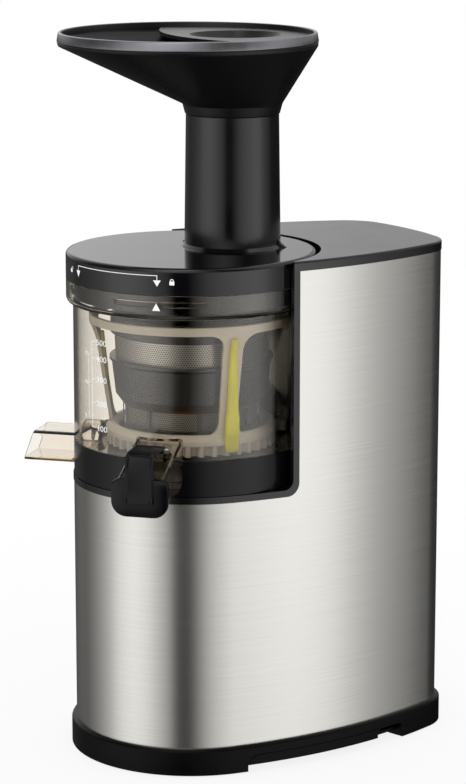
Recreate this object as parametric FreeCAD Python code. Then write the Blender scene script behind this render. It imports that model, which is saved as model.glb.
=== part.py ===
import FreeCAD, Part

import math
import os

from FreeCAD import Matrix, Placement, Rotation, Vector

# Cold press juicer, in millimetres, +Z up. The origin is on the drive axis at the level of the
# table. The motor tower is at +X, the two spouts are at -X.

# Body in plan: a front circle on the drive axis, two long side arcs, two rear corners, a rear arc
FRONT_R = 71.4
SIDE_R = 285.0
HALF_WIDTH = 74.0
REAR_CORNER_R = 28.0
REAR_ARC_R = 200.0
REAR_X = 157.3

# Heights of the body
SKIRT_TOP_Z = 16.8
SHELL_TOP_Z = 300.6
TOWER_TOP_Z = 306.4
BAY_Z = 170.5
BAY_TRIM = 4.0
DECK_T = 7.5
NOTCH_X = 31.4
NOTCH_CORNER_R = 8.0
BAY_WALL_R = 77.7
BAY_WALL_T = 2.5

# Body sheet and mouldings
SHEET_T = 1.0
SEAM = 0.3
TRIM_PROUD = 0.4
SKIRT_PROUD = 3.0
SKIRT_WALL = 4.0
SKIRT_FLANGE = 8.0
SKIRT_FLANGE_T = 3.5
LAND_Z = 1.0
RAISED_Z = 5.0
FRONT_LAND_X = 3.0
REAR_LAND_X = 107.0
RECESS_LENGTH = 10.0
RECESS_Z = 8.0
LAND_WIDTH = 12.0
FOOT_WIDTH = 8.0
FOOT_DEPTH = 3.0
PLATE_T = 2.0

# Cooling slots and screws under the body
SLOT_COUNT = 7
SLOT_LENGTH = 28.0
SLOT_WIDTH = 3.0
SLOT_PITCH = 9.0
SLOT_ROW_X = 30.0
SCREW_R = 1.5
SCREW_HEAD_R = 3.0
SCREW_HEAD_T = 2.0
BASE_SCREW_X = (20.0, 90.0)
BASE_SCREW_Y = 55.0

# Running and sitting clearances
RUNNING = 0.06
LOOSE = 0.3
SEATED = 0.03

# Gear trains, with the tooth counts of each pair
GEARBOX_CENTRES = 42.0
MOTOR_TEETH = 10
FIRST_WHEEL_TEETH = 45
SECOND_PINION_TEETH = 10
OUTPUT_TEETH = 40
WIPER_CENTRES = 56.35
BOWL_GEAR_TEETH = 54
LOWER_PINION_TEETH = 12
UPPER_PINION_TEETH = 6
WIPER_TEETH = 40
PRESSURE_ANGLE = 25.0
BACKLASH = 0.5

# Motor
MOTOR_R = 42.0
MOTOR_BASE_Z = 42.0
MOTOR_SHIELD_T = 6.0
STATOR_LENGTH = 50.0
STATOR_BORE_R = 24.5
STATOR_SLOTS = 12
ROTOR_R = 24.0
MOTOR_SHAFT_R = 4.0
MOTOR_BEARING_R = 10.0

# Gearbox
GEARBOX_WALL = 3.0
GEARBOX_FLOOR_Z = 104.0
GEARBOX_RIM_Z = 150.0
GEARBOX_LID_T = 6.0
FIRST_WHEEL_Z = 110.0
FIRST_WHEEL_T = 8.0
OUTPUT_WHEEL_Z = 123.0
OUTPUT_WHEEL_T = 13.0
OUTPUT_BEARING_R = 16.0
OUTPUT_BEARING_T = 7.5
AXLE_R = 4.0

# Drive shaft
DRIVE_R = 8.0
DRIVE_BOTTOM_Z = 121.5
HEX_FLATS = 14.0
HEX_Z = 170.8
DRIVE_TOP_Z = 218.0
SEAL_R = 14.0

# Bowl
BOWL_R = 70.9
BOWL_WALL = 2.4
BOWL_RING_R = 71.2
BOWL_RING_TOP_Z = 192.0
COLLAR_R = 75.0
COLLAR_WALL = 2.4
COLLAR_Z = 275.5
COLLAR_LEDGE = 2.5
COLLAR_ROUND = 3.6
BOWL_TOP_Z = 290.0
FLOOR_Z = 188.5
FLOOR_T = 2.0
TUBE_R = 13.0
TUBE_BORE_R = 10.5
TUBE_TOP_Z = 203.0
SEAT_R = 40.0
SEAT_T = 2.5
SEAT_TOP_Z = 197.0
BOWL_GEAR_Z = 171.6
BOWL_GEAR_T = 4.8

# Lid and its quarter-turn lock
LID_R = 75.0
LID_TOP_Z = 306.3
LID_PLATE_T = 3.0
LID_BAND_T = 2.5
LID_ROUND = 2.5
LID_SKIRT_R = 70.2
LID_SKIRT_T = 2.0
LID_SKIRT_Z = 279.3
RIB_Z = 283.0
RIB_T = 3.0
RIB_START = -156.6
RIB_SPAN = 44.6
LUG_SPAN = 36.0
LUG_T = 3.0
LOCKS = 4
BUSH_R = 6.5
BOSS_R = 8.5
BOSS_Z = 278.0

# Chute and hopper
CHUTE_X = 28.5
CHUTE_R = 29.0
CHUTE_TOP_R = 27.9
CHUTE_BORE_R = 25.4
CHUTE_TOP_Z = 385.6
CHUTE_FLARE = 2.0
CHUTE_SPIGOT_T = 1.2
FIN_ANGLES = (122.0, -47.0)
FIN_HEIGHT = 5.0
FIN_LENGTH = 5.0
FIN_T = 2.0
NECK_R = 28.4
NECK_TOP_R = 30.0
NECK_TOP_Z = 392.0
SPIGOT_DEPTH = 14.0
HOPPER_X = -1.8
HOPPER_R = 77.2
HOPPER_BAND_Z = 428.0
HOPPER_TOP_Z = 435.6
HOPPER_WALL = 2.4
GUARD_DROP = 3.0
GUARD_T = 2.2
GUARD_EDGE_X = -6.0
GUARD_EDGE_R = 109.0
GUARD_HOLE_X = 31.0
GUARD_HOLE_R = 22.0
GUARD_DISH_R = 28.0
GUARD_DISH_DEPTH = 6.0

# Strainer, auger and wiper
STRAINER_STEPS = ((199.5, 38.8), (213.5, 39.7), (219.0, 43.4), (241.5, 45.0), (263.0, 45.9))
MESH_T = 0.6
MESH_SEAT = 0.1
STRAINER_RING_R = 41.4
STRAINER_RING_TOP_Z = 203.0
BAND_Z = 214.0
BAND_TOP_Z = 242.5
BAND_FLANGE_R = 49.3
RIM_Z = 256.5
RIM_TOP_Z = 268.0
RIM_R = 48.6
STRAINER_RIBS = 8
AUGER_GAP = 0.8
AUGER_CORE_TOP_R = 20.0
AUGER_CORE_R = 35.0
AUGER_Z = 191.5
AUGER_TOP_Z = 262.0
FLIGHT_PITCH = 56.0
FLIGHT_T = 5.0
FLIGHTS = 2
JOURNAL_R = 4.4
JOURNAL_TOP_Z = 292.0
INSERT_R = 11.8
INSERT_Z = 204.5
WIPER_BASE_R = 49.4
WIPER_TOP_R = 57.4
WIPER_RIM_R = 61.4
WIPER_T = 2.2
WIPER_GEAR_Z = 190.0
WIPER_GEAR_T = 6.5
WIPER_CONE_Z = 201.0
WIPER_FLARE_Z = 252.0
WIPER_TOP_Z = 264.5
WIPER_BORE_R = 43.6
WINDOW_Z = 205.5
WINDOW_TOP_Z = 258.5
WINDOW_ROUND = 8.0
WIPER_POSTS = 3
FIRST_POST = -94.0
POST_WIDTH = 16.0

# Spouts, measured along their own directions from the drive axis
JUICE_ANGLE = -135.0
PULP_ANGLE = 135.0
SPOUT_WALL = 2.0
JUICE_WIDTH = 28.0
JUICE_REACH = 106.0
JUICE_ROOT_Z = 205.0
JUICE_TIP_Z = 190.0
JUICE_BOTTOM_Z = 174.0
PULP_WIDTH = 29.0
PULP_TOP_REACH = 96.3
PULP_LIP_REACH = 102.9
PULP_TOP_Z = 192.0
PULP_BOTTOM_Z = 173.5
HUMP_R = 12.0
HUMP_Z = 184.0
HUMP_REACH = 54.4

# Juice cap
CAP_WIDTH = 34.0
CAP_T = 3.0
CAP_BOTTOM_Z = 167.5
CAP_TOP_Z = 189.5
STRAP_WIDTH = 17.0
STRAP_T = 1.7
HINGE_REACH = 86.0
HINGE_Z = 202.2
HINGE_PIN_R = 1.2
HINGE_BARREL_R = 2.3
STRAP_REACH = 112.4
PLUG_DEPTH = 3.6

# Switch, cord gland and electrical parts
SWITCH_TURN = -13.0
SWITCH_Z = 104.0
BEZEL = (24.0, 36.0)
ROCKER = (15.0, 26.0)
ROCKER_TRAVEL = 12.0
GLAND_Z = 34.0
GLAND_R = 8.0
GLAND_BORE_R = 3.6
BOARD_X = 122.0
BOARD = (56.0, 60.0)
CAPACITOR_XY = (92.0, -34.0)
CAPACITOR_R = 16.0
CAPACITOR_LENGTH = 62.0

UP = Vector(0, 0, 1)


# Basic shapes

def cylinder(radius, low, high, x=0.0, y=0.0):
    return Part.makeCylinder(radius, high - low, Vector(x, y, low))


def ring(outer, inner, low, high, x=0.0, y=0.0):
    return cylinder(outer, low, high, x, y).cut(cylinder(inner, low - 1, high + 1, x, y))


def cone(low_r, high_r, low, high, x=0.0, y=0.0):
    return Part.makeCone(low_r, high_r, high - low, Vector(x, y, low))


def block(x0, x1, y0, y1, z0, z1):
    return Part.makeBox(x1 - x0, y1 - y0, z1 - z0, Vector(x0, y0, z0))


def turned(shape, degrees, x=0.0, y=0.0):
    """A copy of the shape, turned about the vertical line through x, y."""
    copy = shape.copy()
    copy.rotate(Vector(x, y, 0), UP, degrees)
    return copy


def revolve(points, degrees=360.0):
    """A solid turned from a closed outline of (radius, height) points about the drive axis."""
    outline = [Vector(r, 0, z) for r, z in points]
    face = Part.Face(Part.makePolygon(outline + outline[:1]))
    return face.revolve(Vector(0, 0, 0), UP, degrees)


def upright(points, width):
    """A plate from a closed outline of (reach, height) points, centred on the plane y = 0."""
    outline = [Vector(r, -width / 2, z) for r, z in points]
    face = Part.Face(Part.makePolygon(outline + outline[:1]))
    return face.extrude(Vector(0, width, 0))


def slab(width, height, depth, corner):
    """A round-cornered plate, width along X and height along Z, from y = 0 to y = depth."""
    plate = Part.makeBox(width, depth, height, Vector(-width / 2, 0, -height / 2))
    edges = [e for e in plate.Edges if e.BoundBox.YLength > depth / 2]
    return plate.makeFillet(corner, edges)


def fuse(first, *others):
    joined = first
    for other in others:
        joined = joined.fuse(other)
    return joined.removeSplitter()


def polar(radius, degrees):
    angle = math.radians(degrees)
    return radius * math.cos(angle), radius * math.sin(angle)


# Plan outline of the body

def circle_crossing(c1, r1, c2, r2):
    """The crossing of two circles that has the larger y."""
    (x1, y1), (x2, y2) = c1, c2
    gap = math.hypot(x2 - x1, y2 - y1)
    along = (r1 ** 2 - r2 ** 2 + gap ** 2) / (2 * gap)
    across = math.sqrt(r1 ** 2 - along ** 2)
    ux, uy = (x2 - x1) / gap, (y2 - y1) / gap
    sides = [(x1 + along * ux - s * across * uy, y1 + along * uy + s * across * ux) for s in (1, -1)]
    return max(sides, key=lambda p: p[1])


SIDE_DROP = SIDE_R - HALF_WIDTH
SIDE_X = math.sqrt((SIDE_R - FRONT_R) ** 2 - SIDE_DROP ** 2)
REAR_CENTRE_X = REAR_X - REAR_ARC_R
CORNER_X, CORNER_Y = circle_crossing(
    (SIDE_X, -SIDE_DROP), SIDE_R - REAR_CORNER_R, (REAR_CENTRE_X, 0.0), REAR_ARC_R - REAR_CORNER_R)


def touch(centre, other, radius):
    """The point at radius from centre, on the line from it through the other centre."""
    dx, dy = other[0] - centre[0], other[1] - centre[1]
    reach = math.hypot(dx, dy)
    return Vector(centre[0] + radius * dx / reach, centre[1] + radius * dy / reach, 0)


def body_wire(offset):
    """The body's outline, moved outwards by offset, as tangent arcs."""
    side, corner, rear = (SIDE_X, -SIDE_DROP), (CORNER_X, CORNER_Y), (REAR_CENTRE_X, 0.0)
    front_end = touch(side, (0.0, 0.0), SIDE_R + offset)
    side_end = touch(side, corner, SIDE_R + offset)
    corner_end = touch(rear, corner, REAR_ARC_R + offset)
    side_top = Vector(SIDE_X, HALF_WIDTH + offset, 0)
    spread = math.atan2(side_end.y - CORNER_Y, side_end.x - CORNER_X)
    spread = (spread + math.atan2(corner_end.y - CORNER_Y, corner_end.x - CORNER_X)) / 2
    bend = REAR_CORNER_R + offset
    corner_mid = Vector(CORNER_X + bend * math.cos(spread), CORNER_Y + bend * math.sin(spread), 0)

    def mirrored(p):
        return Vector(p.x, -p.y, 0)

    arcs = [
        Part.Arc(mirrored(front_end), Vector(-FRONT_R - offset, 0, 0), front_end),
        Part.Arc(front_end, side_top, side_end),
        Part.Arc(side_end, corner_mid, corner_end),
        Part.Arc(corner_end, Vector(REAR_X + offset, 0, 0), mirrored(corner_end)),
        Part.Arc(mirrored(corner_end), mirrored(corner_mid), mirrored(side_end)),
        Part.Arc(mirrored(side_end), mirrored(side_top), mirrored(front_end)),
    ]
    return Part.Wire([a.toShape() for a in arcs])


def body_prism(offset, low, high):
    solid = Part.Face(body_wire(offset)).extrude(Vector(0, 0, high - low))
    solid.translate(Vector(0, 0, low))
    return solid


def body_band(outer, inner, low, high):
    return body_prism(outer, low, high).cut(body_prism(inner, low - 1, high + 1))


def notch(inset):
    """The space in front of the tower, above the bay, drawn in by inset, with a round corner."""
    edge_x, floor_z = NOTCH_X - inset, BAY_Z - BAY_TRIM + inset
    wide, front = 2 * HALF_WIDTH, -2 * HALF_WIDTH
    space = block(front, edge_x, -wide, wide, floor_z, TOWER_TOP_Z + 10)
    edge = [e for e in space.Edges
            if abs(e.CenterOfMass.x - edge_x) < 0.01 and abs(e.CenterOfMass.z - floor_z) < 0.01]
    return space.makeFillet(NOTCH_CORNER_R - inset / 2, edge)


# Gears

def involute(angle):
    return math.tan(angle) - angle


def flank(teeth, module, shift, tip_share, steps):
    """Points (radius, half angle of the tooth) along one flank, from root to tip."""
    pressure = math.radians(PRESSURE_ANGLE)
    pitch_r = module * teeth / 2
    base_r = pitch_r * math.cos(pressure)
    tip_r = pitch_r + module * (tip_share + shift)
    root_r = pitch_r - module * (1.2 - shift)
    half = (math.pi / 2 + 2 * shift * math.tan(pressure)) / teeth - BACKLASH / 4 / pitch_r
    start_r = max(base_r, root_r)
    points = []
    for k in range(steps + 1):
        r = start_r + (tip_r - start_r) * k / steps
        lean = involute(math.acos(min(base_r / r, 1.0)))
        points.append((r, half + involute(pressure) - lean))
    if root_r < start_r - 0.05:
        points.insert(0, (root_r, points[0][1]))
    return points


def gear(teeth, module, low, thick, x=0.0, y=0.0, shift=0.0, tip_share=0.9, steps=1, phase=0.0):
    """A spur gear with one tooth centred at the phase angle, in degrees."""
    side = flank(teeth, module, shift, tip_share, steps)
    outline = []
    for k in range(teeth):
        middle = math.radians(phase) + 2 * math.pi * k / teeth
        outline += [(r, middle - a) for r, a in side]
        outline += [(r, middle + a) for r, a in reversed(side)]
    points = [Vector(x + r * math.cos(a), y + r * math.sin(a), low) for r, a in outline]
    face = Part.Face(Part.makePolygon(points + points[:1]))
    return face.extrude(Vector(0, 0, thick))


def hexagon(flats, low, high):
    corner = flats / math.sqrt(3)
    points = [Vector(*polar(corner, 60 * k), low) for k in range(6)]
    return Part.Face(Part.makePolygon(points + points[:1])).extrude(Vector(0, 0, high - low))


FIRST_MODULE = 2 * GEARBOX_CENTRES / (MOTOR_TEETH + FIRST_WHEEL_TEETH)
SECOND_MODULE = 2 * GEARBOX_CENTRES / (SECOND_PINION_TEETH + OUTPUT_TEETH)
BOWL_MODULE = 2 * WIPER_CENTRES / (BOWL_GEAR_TEETH + LOWER_PINION_TEETH)
WIPER_MODULE = 2 * WIPER_CENTRES / (UPPER_PINION_TEETH + WIPER_TEETH)
PINION_SHIFT = 0.4


# Base, feet and body shell

def land(offset, width, x0, x1, low, high):
    """A strip just inside the outline, between two places along the body."""
    band = body_band(offset, offset - width, low, high)
    wide = 2 * HALF_WIDTH
    return band.common(block(x0, x1, -wide, wide, low - 1, high + 1))


FAR = 2 * REAR_X
STRIP_END = 2.0


def foot_strips(offset, width, low, high):
    front = land(offset, width, -FAR, FRONT_LAND_X - STRIP_END, low, high)
    rear = land(offset, width, REAR_LAND_X + STRIP_END, FAR, low, high)
    return [front, rear]


def rubber_feet():
    return Part.makeCompound(foot_strips(-STRIP_END, FOOT_WIDTH, 0.0, FOOT_DEPTH))


def screw_places():
    return [(x, side * BASE_SCREW_Y) for x in BASE_SCREW_X for side in (-1, 1)]


def base_skirt():
    cavity_top = SKIRT_TOP_Z - SKIRT_FLANGE_T
    inner = SKIRT_PROUD - SKIRT_WALL
    skirt = body_prism(SKIRT_PROUD, LAND_Z, SKIRT_TOP_Z)
    top_edges = [e for e in skirt.Edges if e.BoundBox.ZMin > SKIRT_TOP_Z - 0.01]
    skirt = skirt.makeFillet(SKIRT_PROUD / 2, top_edges)
    skirt = skirt.cut(body_prism(inner, LAND_Z - 1, cavity_top))
    skirt = skirt.cut(body_prism(-SHEET_T - SKIRT_FLANGE, LAND_Z, SKIRT_TOP_Z + 1))
    wide = 2 * HALF_WIDTH
    skirt = skirt.cut(block(FRONT_LAND_X, REAR_LAND_X, -wide, wide, 0, RAISED_Z))
    skirt = skirt.cut(block(REAR_LAND_X - RECESS_LENGTH, REAR_LAND_X, -wide, wide, 0, RECESS_Z))
    lands = [land(inner, LAND_WIDTH, -FAR, FRONT_LAND_X, LAND_Z, RAISED_Z),
             land(inner, LAND_WIDTH, REAR_LAND_X, FAR, LAND_Z, RAISED_Z)]
    lip = body_band(-SHEET_T - SEAM, -SHEET_T - SEAM - 2, SKIRT_TOP_Z - 1, SKIRT_TOP_Z + 7)
    skirt = fuse(skirt, lip, *lands)
    for strip in foot_strips(-STRIP_END, FOOT_WIDTH, 0.0, FOOT_DEPTH):
        skirt = skirt.cut(strip)
    plate_top = RAISED_Z + PLATE_T
    for x, y in screw_places():
        arm = block(x - 3, x + 3, min(y, y * 1.25), max(y, y * 1.25), cavity_top - 2, SKIRT_TOP_Z)
        arm = arm.common(body_prism(-SHEET_T - SEAM, 0, SKIRT_TOP_Z))
        skirt = fuse(skirt, cylinder(5, plate_top, SKIRT_TOP_Z, x, y), arm)
    for x, y in screw_places():
        skirt = skirt.cut(cylinder(SCREW_R, plate_top - 1, SKIRT_TOP_Z - 2, x, y))
    return skirt


def bottom_plate():
    top = RAISED_Z + PLATE_T
    plate = body_prism(SKIRT_PROUD - SKIRT_WALL - SEAM, RAISED_Z, top)
    for side in (-1, 1):
        for k in range(SLOT_COUNT):
            x = SLOT_ROW_X + (k - (SLOT_COUNT - 1) / 2) * SLOT_PITCH
            y = side * (SLOT_LENGTH / 2 + 6)
            plate = plate.cut(block(x - SLOT_WIDTH / 2, x + SLOT_WIDTH / 2,
                                    y - SLOT_LENGTH / 2, y + SLOT_LENGTH / 2, 0, top + 1))
    for x, y in screw_places():
        plate = plate.cut(cylinder(SCREW_R + 0.2, RAISED_Z - 1, top + 1, x, y))
    return plate


def base_screws():
    screws = []
    for x, y in screw_places():
        head = cylinder(SCREW_HEAD_R, RAISED_Z - SCREW_HEAD_T, RAISED_Z, x, y)
        screws.append(fuse(head, cylinder(SCREW_R - SEATED, RAISED_Z - 0.5, SKIRT_TOP_Z - 4, x, y)))
    return Part.makeCompound(screws)


def on_side(shape):
    """Turns a shape built at the widest point of the +Y side round to the switch's place."""
    return turned(shape, SWITCH_TURN, SIDE_X, -SIDE_DROP)


def body_shell():
    shell = body_band(0.0, -SHEET_T, SKIRT_TOP_Z, SHELL_TOP_Z)
    shell = shell.cut(notch(0.0))
    opening = slab(BEZEL[0] - 4, BEZEL[1] - 4, 8, 3)
    opening.translate(Vector(SIDE_X, HALF_WIDTH - 6, SWITCH_Z))
    shell = shell.cut(on_side(opening))
    hole = Part.makeCylinder(GLAND_R, 10, Vector(REAR_X - 6, 0, GLAND_Z), Vector(1, 0, 0))
    return shell.cut(hole)


def bowl_bay():
    """The moulded bay: the deck under the bowl, the hollow wall of the tower and the edge trim."""
    inside = -SHEET_T - SEAM
    deck = body_prism(inside, BAY_Z - DECK_T, BAY_Z)
    deck = deck.common(cylinder(BAY_WALL_R + BAY_WALL_T, 0, SHELL_TOP_Z))
    wall = ring(BAY_WALL_R + BAY_WALL_T, BAY_WALL_R, BAY_Z - DECK_T, SHELL_TOP_Z)
    wide = 2 * HALF_WIDTH
    wall = wall.common(body_prism(inside, 0, SHELL_TOP_Z))
    wall = wall.common(block(0, FAR, -wide, wide, 0, SHELL_TOP_Z))
    edge = body_band(TRIM_PROUD, inside - 2, BAY_Z - BAY_TRIM, SHELL_TOP_Z)
    edge = edge.common(notch(0.0)).cut(notch(BAY_TRIM))
    edge = edge.common(block(-FAR, NOTCH_X, -wide, wide, 0, SHELL_TOP_Z))
    bay = fuse(deck, wall, edge)
    for x, y in gearbox_screw_places():
        bay = bay.fuse(cylinder(6, GEARBOX_RIM_Z + GEARBOX_LID_T, BAY_Z - DECK_T + 1, x, y))
    bay = bay.cut(cylinder(SEAL_R, BAY_Z - DECK_T - 1, BAY_Z + 1))
    return bay.removeSplitter()


def tower_cover():
    cover = body_prism(TRIM_PROUD, SHELL_TOP_Z, TOWER_TOP_Z)
    top = [e for e in cover.Edges if e.BoundBox.ZMin > TOWER_TOP_Z - 0.01]
    cover = cover.makeFillet(1.2, top)
    inside = -SHEET_T - SEAM
    lip = body_band(inside, inside - 2, SHELL_TOP_Z - 6, SHELL_TOP_Z + 1)
    clear = BAY_WALL_R + BAY_WALL_T + LOOSE
    lip = lip.cut(cylinder(clear, SHELL_TOP_Z - 10, SHELL_TOP_Z))
    wide = 2 * HALF_WIDTH
    cover = cover.cut(cylinder(BAY_WALL_R, 0, TOWER_TOP_Z + 1))
    cover = cover.fuse(lip)
    return cover.common(block(NOTCH_X - BAY_TRIM, FAR, -wide, wide, 0, TOWER_TOP_Z)).removeSplitter()


# Motor

MOTOR_TOP_Z = MOTOR_BASE_Z + 2 * MOTOR_SHIELD_T + STATOR_LENGTH
STATOR_Z = MOTOR_BASE_Z + MOTOR_SHIELD_T


def motor_stator():
    """A ring of laminations whose teeth reach in to the bore, with the windings in the slots."""
    stack = ring(MOTOR_R, STATOR_BORE_R, STATOR_Z, STATOR_Z + STATOR_LENGTH)
    slot_r = (MOTOR_R + STATOR_BORE_R) / 2
    for k in range(STATOR_SLOTS):
        x, y = polar(slot_r, 360 * k / STATOR_SLOTS)
        stack = stack.cut(cylinder(4.5, STATOR_Z - 1, STATOR_Z + STATOR_LENGTH + 1, x, y))
    return stack


def motor_windings():
    slot_r = (MOTOR_R + STATOR_BORE_R) / 2
    coils = []
    for k in range(STATOR_SLOTS):
        x, y = polar(slot_r, 360 * k / STATOR_SLOTS)
        coils.append(cylinder(4.5 - SEATED, STATOR_Z, STATOR_Z + STATOR_LENGTH, x, y))
    return Part.makeCompound(coils)


def motor_shields():
    shields = []
    for low in (MOTOR_BASE_Z, MOTOR_TOP_Z - MOTOR_SHIELD_T):
        shields.append(ring(MOTOR_R, MOTOR_BEARING_R, low, low + MOTOR_SHIELD_T))
    return Part.makeCompound(shields)


def motor_bearings():
    bearings = []
    for low in (MOTOR_BASE_Z, MOTOR_TOP_Z - MOTOR_SHIELD_T):
        inner = MOTOR_SHAFT_R + RUNNING
        bearings.append(ring(MOTOR_BEARING_R - SEATED, inner, low, low + MOTOR_SHIELD_T - 0.5))
    return Part.makeCompound(bearings)


MOTOR_PINION_Z = FIRST_WHEEL_Z - 0.5


def motor_rotor():
    core = cylinder(ROTOR_R, STATOR_Z + 1, STATOR_Z + STATOR_LENGTH - 1)
    shaft = cylinder(MOTOR_SHAFT_R, MOTOR_BASE_Z - 3, FIRST_WHEEL_Z + FIRST_WHEEL_T + 1)
    return fuse(core, shaft)


def motor_pinion():
    body = gear(MOTOR_TEETH, FIRST_MODULE, MOTOR_PINION_Z, FIRST_WHEEL_T + 1, shift=PINION_SHIFT, steps=2)
    return body.cut(cylinder(MOTOR_SHAFT_R + SEATED, MOTOR_PINION_Z - 1, OUTPUT_WHEEL_Z))


# Gearbox

def stadium(radius, low, high):
    """A case outline round the drive axis and the intermediate axle."""
    ends = [cylinder(radius, low, high), cylinder(radius, low, high, GEARBOX_CENTRES)]
    return fuse(block(0, GEARBOX_CENTRES, -radius, radius, low, high), *ends)


def wheel_tip(teeth, module):
    return module * (teeth / 2 + 0.9 - PINION_SHIFT)


CASE_R = max(wheel_tip(FIRST_WHEEL_TEETH, FIRST_MODULE), wheel_tip(OUTPUT_TEETH, SECOND_MODULE)) + 1.2 \
    + GEARBOX_WALL
GEARBOX_TOP_Z = GEARBOX_RIM_Z + GEARBOX_LID_T
EAR_R = 6.0


def gearbox_screw_places():
    reach = CASE_R + EAR_R / 2
    return [(x, side * reach) for x in (0.0, GEARBOX_CENTRES) for side in (-1, 1)]


def gearbox_case():
    case = stadium(CASE_R, GEARBOX_FLOOR_Z, GEARBOX_RIM_Z)
    case = case.cut(stadium(CASE_R - GEARBOX_WALL, GEARBOX_FLOOR_Z + GEARBOX_WALL, GEARBOX_RIM_Z + 1))
    for x, y in gearbox_screw_places():
        ear = cylinder(EAR_R, GEARBOX_RIM_Z - 12, GEARBOX_RIM_Z, x, y)
        case = case.fuse(ear.cut(stadium(CASE_R - GEARBOX_WALL, 0, GEARBOX_TOP_Z)))
        case = case.cut(cylinder(SCREW_R + SEATED, GEARBOX_RIM_Z - 10, GEARBOX_RIM_Z + 1, x, y))
    case = case.cut(cylinder(MOTOR_BEARING_R, GEARBOX_FLOOR_Z - 1, GEARBOX_FLOOR_Z + GEARBOX_WALL + 1))
    hole = cylinder(AXLE_R + SEATED, GEARBOX_FLOOR_Z - 1, GEARBOX_RIM_Z, GEARBOX_CENTRES)
    return case.cut(hole).removeSplitter()


OUTPUT_HUB_Z = GEARBOX_RIM_Z - OUTPUT_BEARING_T - 3


def gearbox_lid():
    lid = stadium(CASE_R, GEARBOX_RIM_Z, GEARBOX_TOP_Z)
    lid = fuse(lid, cylinder(OUTPUT_BEARING_R + 3, OUTPUT_HUB_Z, GEARBOX_RIM_Z + 1))
    for x, y in gearbox_screw_places():
        lid = lid.fuse(cylinder(EAR_R, GEARBOX_RIM_Z, GEARBOX_TOP_Z, x, y))
        lid = lid.cut(cylinder(SCREW_R + SEATED, GEARBOX_RIM_Z - 1, GEARBOX_TOP_Z + 1, x, y))
    lid = lid.cut(cylinder(OUTPUT_BEARING_R, OUTPUT_HUB_Z - 1, GEARBOX_TOP_Z + 1))
    hole = cylinder(AXLE_R + SEATED, GEARBOX_RIM_Z - 1, GEARBOX_RIM_Z + 3, GEARBOX_CENTRES)
    return lid.cut(hole).removeSplitter()


def gearbox_screws():
    screws = []
    for x, y in gearbox_screw_places():
        screws.append(cylinder(SCREW_R, GEARBOX_RIM_Z - 9, GEARBOX_TOP_Z, x, y))
    return Part.makeCompound(screws)


def output_bearings():
    bearings = []
    for low in (OUTPUT_HUB_Z, GEARBOX_TOP_Z - OUTPUT_BEARING_T):
        high = low + OUTPUT_BEARING_T
        bearings.append(ring(OUTPUT_BEARING_R - SEATED, DRIVE_R + RUNNING, low, high))
    return Part.makeCompound(bearings)


def intermediate_axle():
    return cylinder(AXLE_R, GEARBOX_FLOOR_Z, GEARBOX_RIM_Z + 2.8, GEARBOX_CENTRES)


def wheel_phase(teeth, facing):
    """The angle of a wheel's first tooth when a gap of the wheel faces the given way."""
    return facing + 180.0 / teeth


def intermediate_gear():
    """The large wheel of the first stage and the small pinion of the second, in one piece."""
    wheel = gear(FIRST_WHEEL_TEETH, FIRST_MODULE, FIRST_WHEEL_Z, FIRST_WHEEL_T, GEARBOX_CENTRES, 0,
                 shift=-PINION_SHIFT, phase=wheel_phase(FIRST_WHEEL_TEETH, 180.0))
    low = FIRST_WHEEL_Z + FIRST_WHEEL_T - 0.5
    high = OUTPUT_WHEEL_Z + OUTPUT_WHEEL_T + 1
    pinion = gear(SECOND_PINION_TEETH, SECOND_MODULE, low, high - low, GEARBOX_CENTRES, 0,
                  shift=PINION_SHIFT, steps=2, phase=180.0)
    bore = cylinder(AXLE_R + RUNNING, GEARBOX_FLOOR_Z, GEARBOX_RIM_Z, GEARBOX_CENTRES)
    hub_top = GEARBOX_RIM_Z - 0.4
    hub = cylinder(AXLE_R + 2, GEARBOX_FLOOR_Z + GEARBOX_WALL + 0.4, hub_top, GEARBOX_CENTRES)
    return fuse(wheel, pinion, hub).cut(bore)


# Drive shaft

def output_gear():
    wheel = gear(OUTPUT_TEETH, SECOND_MODULE, OUTPUT_WHEEL_Z, OUTPUT_WHEEL_T,
                 shift=-PINION_SHIFT, phase=wheel_phase(OUTPUT_TEETH, 0.0))
    return wheel.cut(cylinder(DRIVE_R + SEATED, OUTPUT_WHEEL_Z - 1, GEARBOX_RIM_Z))


def drive_shaft():
    shaft = cylinder(DRIVE_R, DRIVE_BOTTOM_Z, HEX_Z)
    key = hexagon(HEX_FLATS, HEX_Z - 1, DRIVE_TOP_Z)
    tip = cone(DRIVE_R + 4, DRIVE_R - 2, DRIVE_TOP_Z - 6, DRIVE_TOP_Z)
    tip = tip.fuse(cylinder(DRIVE_R + 4, HEX_Z - 2, DRIVE_TOP_Z - 6))
    return fuse(shaft, key.common(tip))


def shaft_seal():
    return ring(SEAL_R - SEATED, DRIVE_R + RUNNING, BAY_Z - DECK_T, BAY_Z - 1)


# Bowl

BOWL_BORE_R = BOWL_R - BOWL_WALL
LOWER_R = BOWL_RING_R - 2.5
LOWER_BORE_R = LOWER_R - 2.2
BOWL_FOOT_Z = BAY_Z + LOOSE
FLOOR_UNDER_Z = FLOOR_Z - FLOOR_T
GEAR_CEILING_Z = BOWL_GEAR_Z + BOWL_GEAR_T + 0.5
COLLAR_BORE_R = COLLAR_R - COLLAR_WALL


def pointed(shape, degrees):
    """Turns a spout built along +X to its own direction."""
    return turned(shape, degrees)


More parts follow.
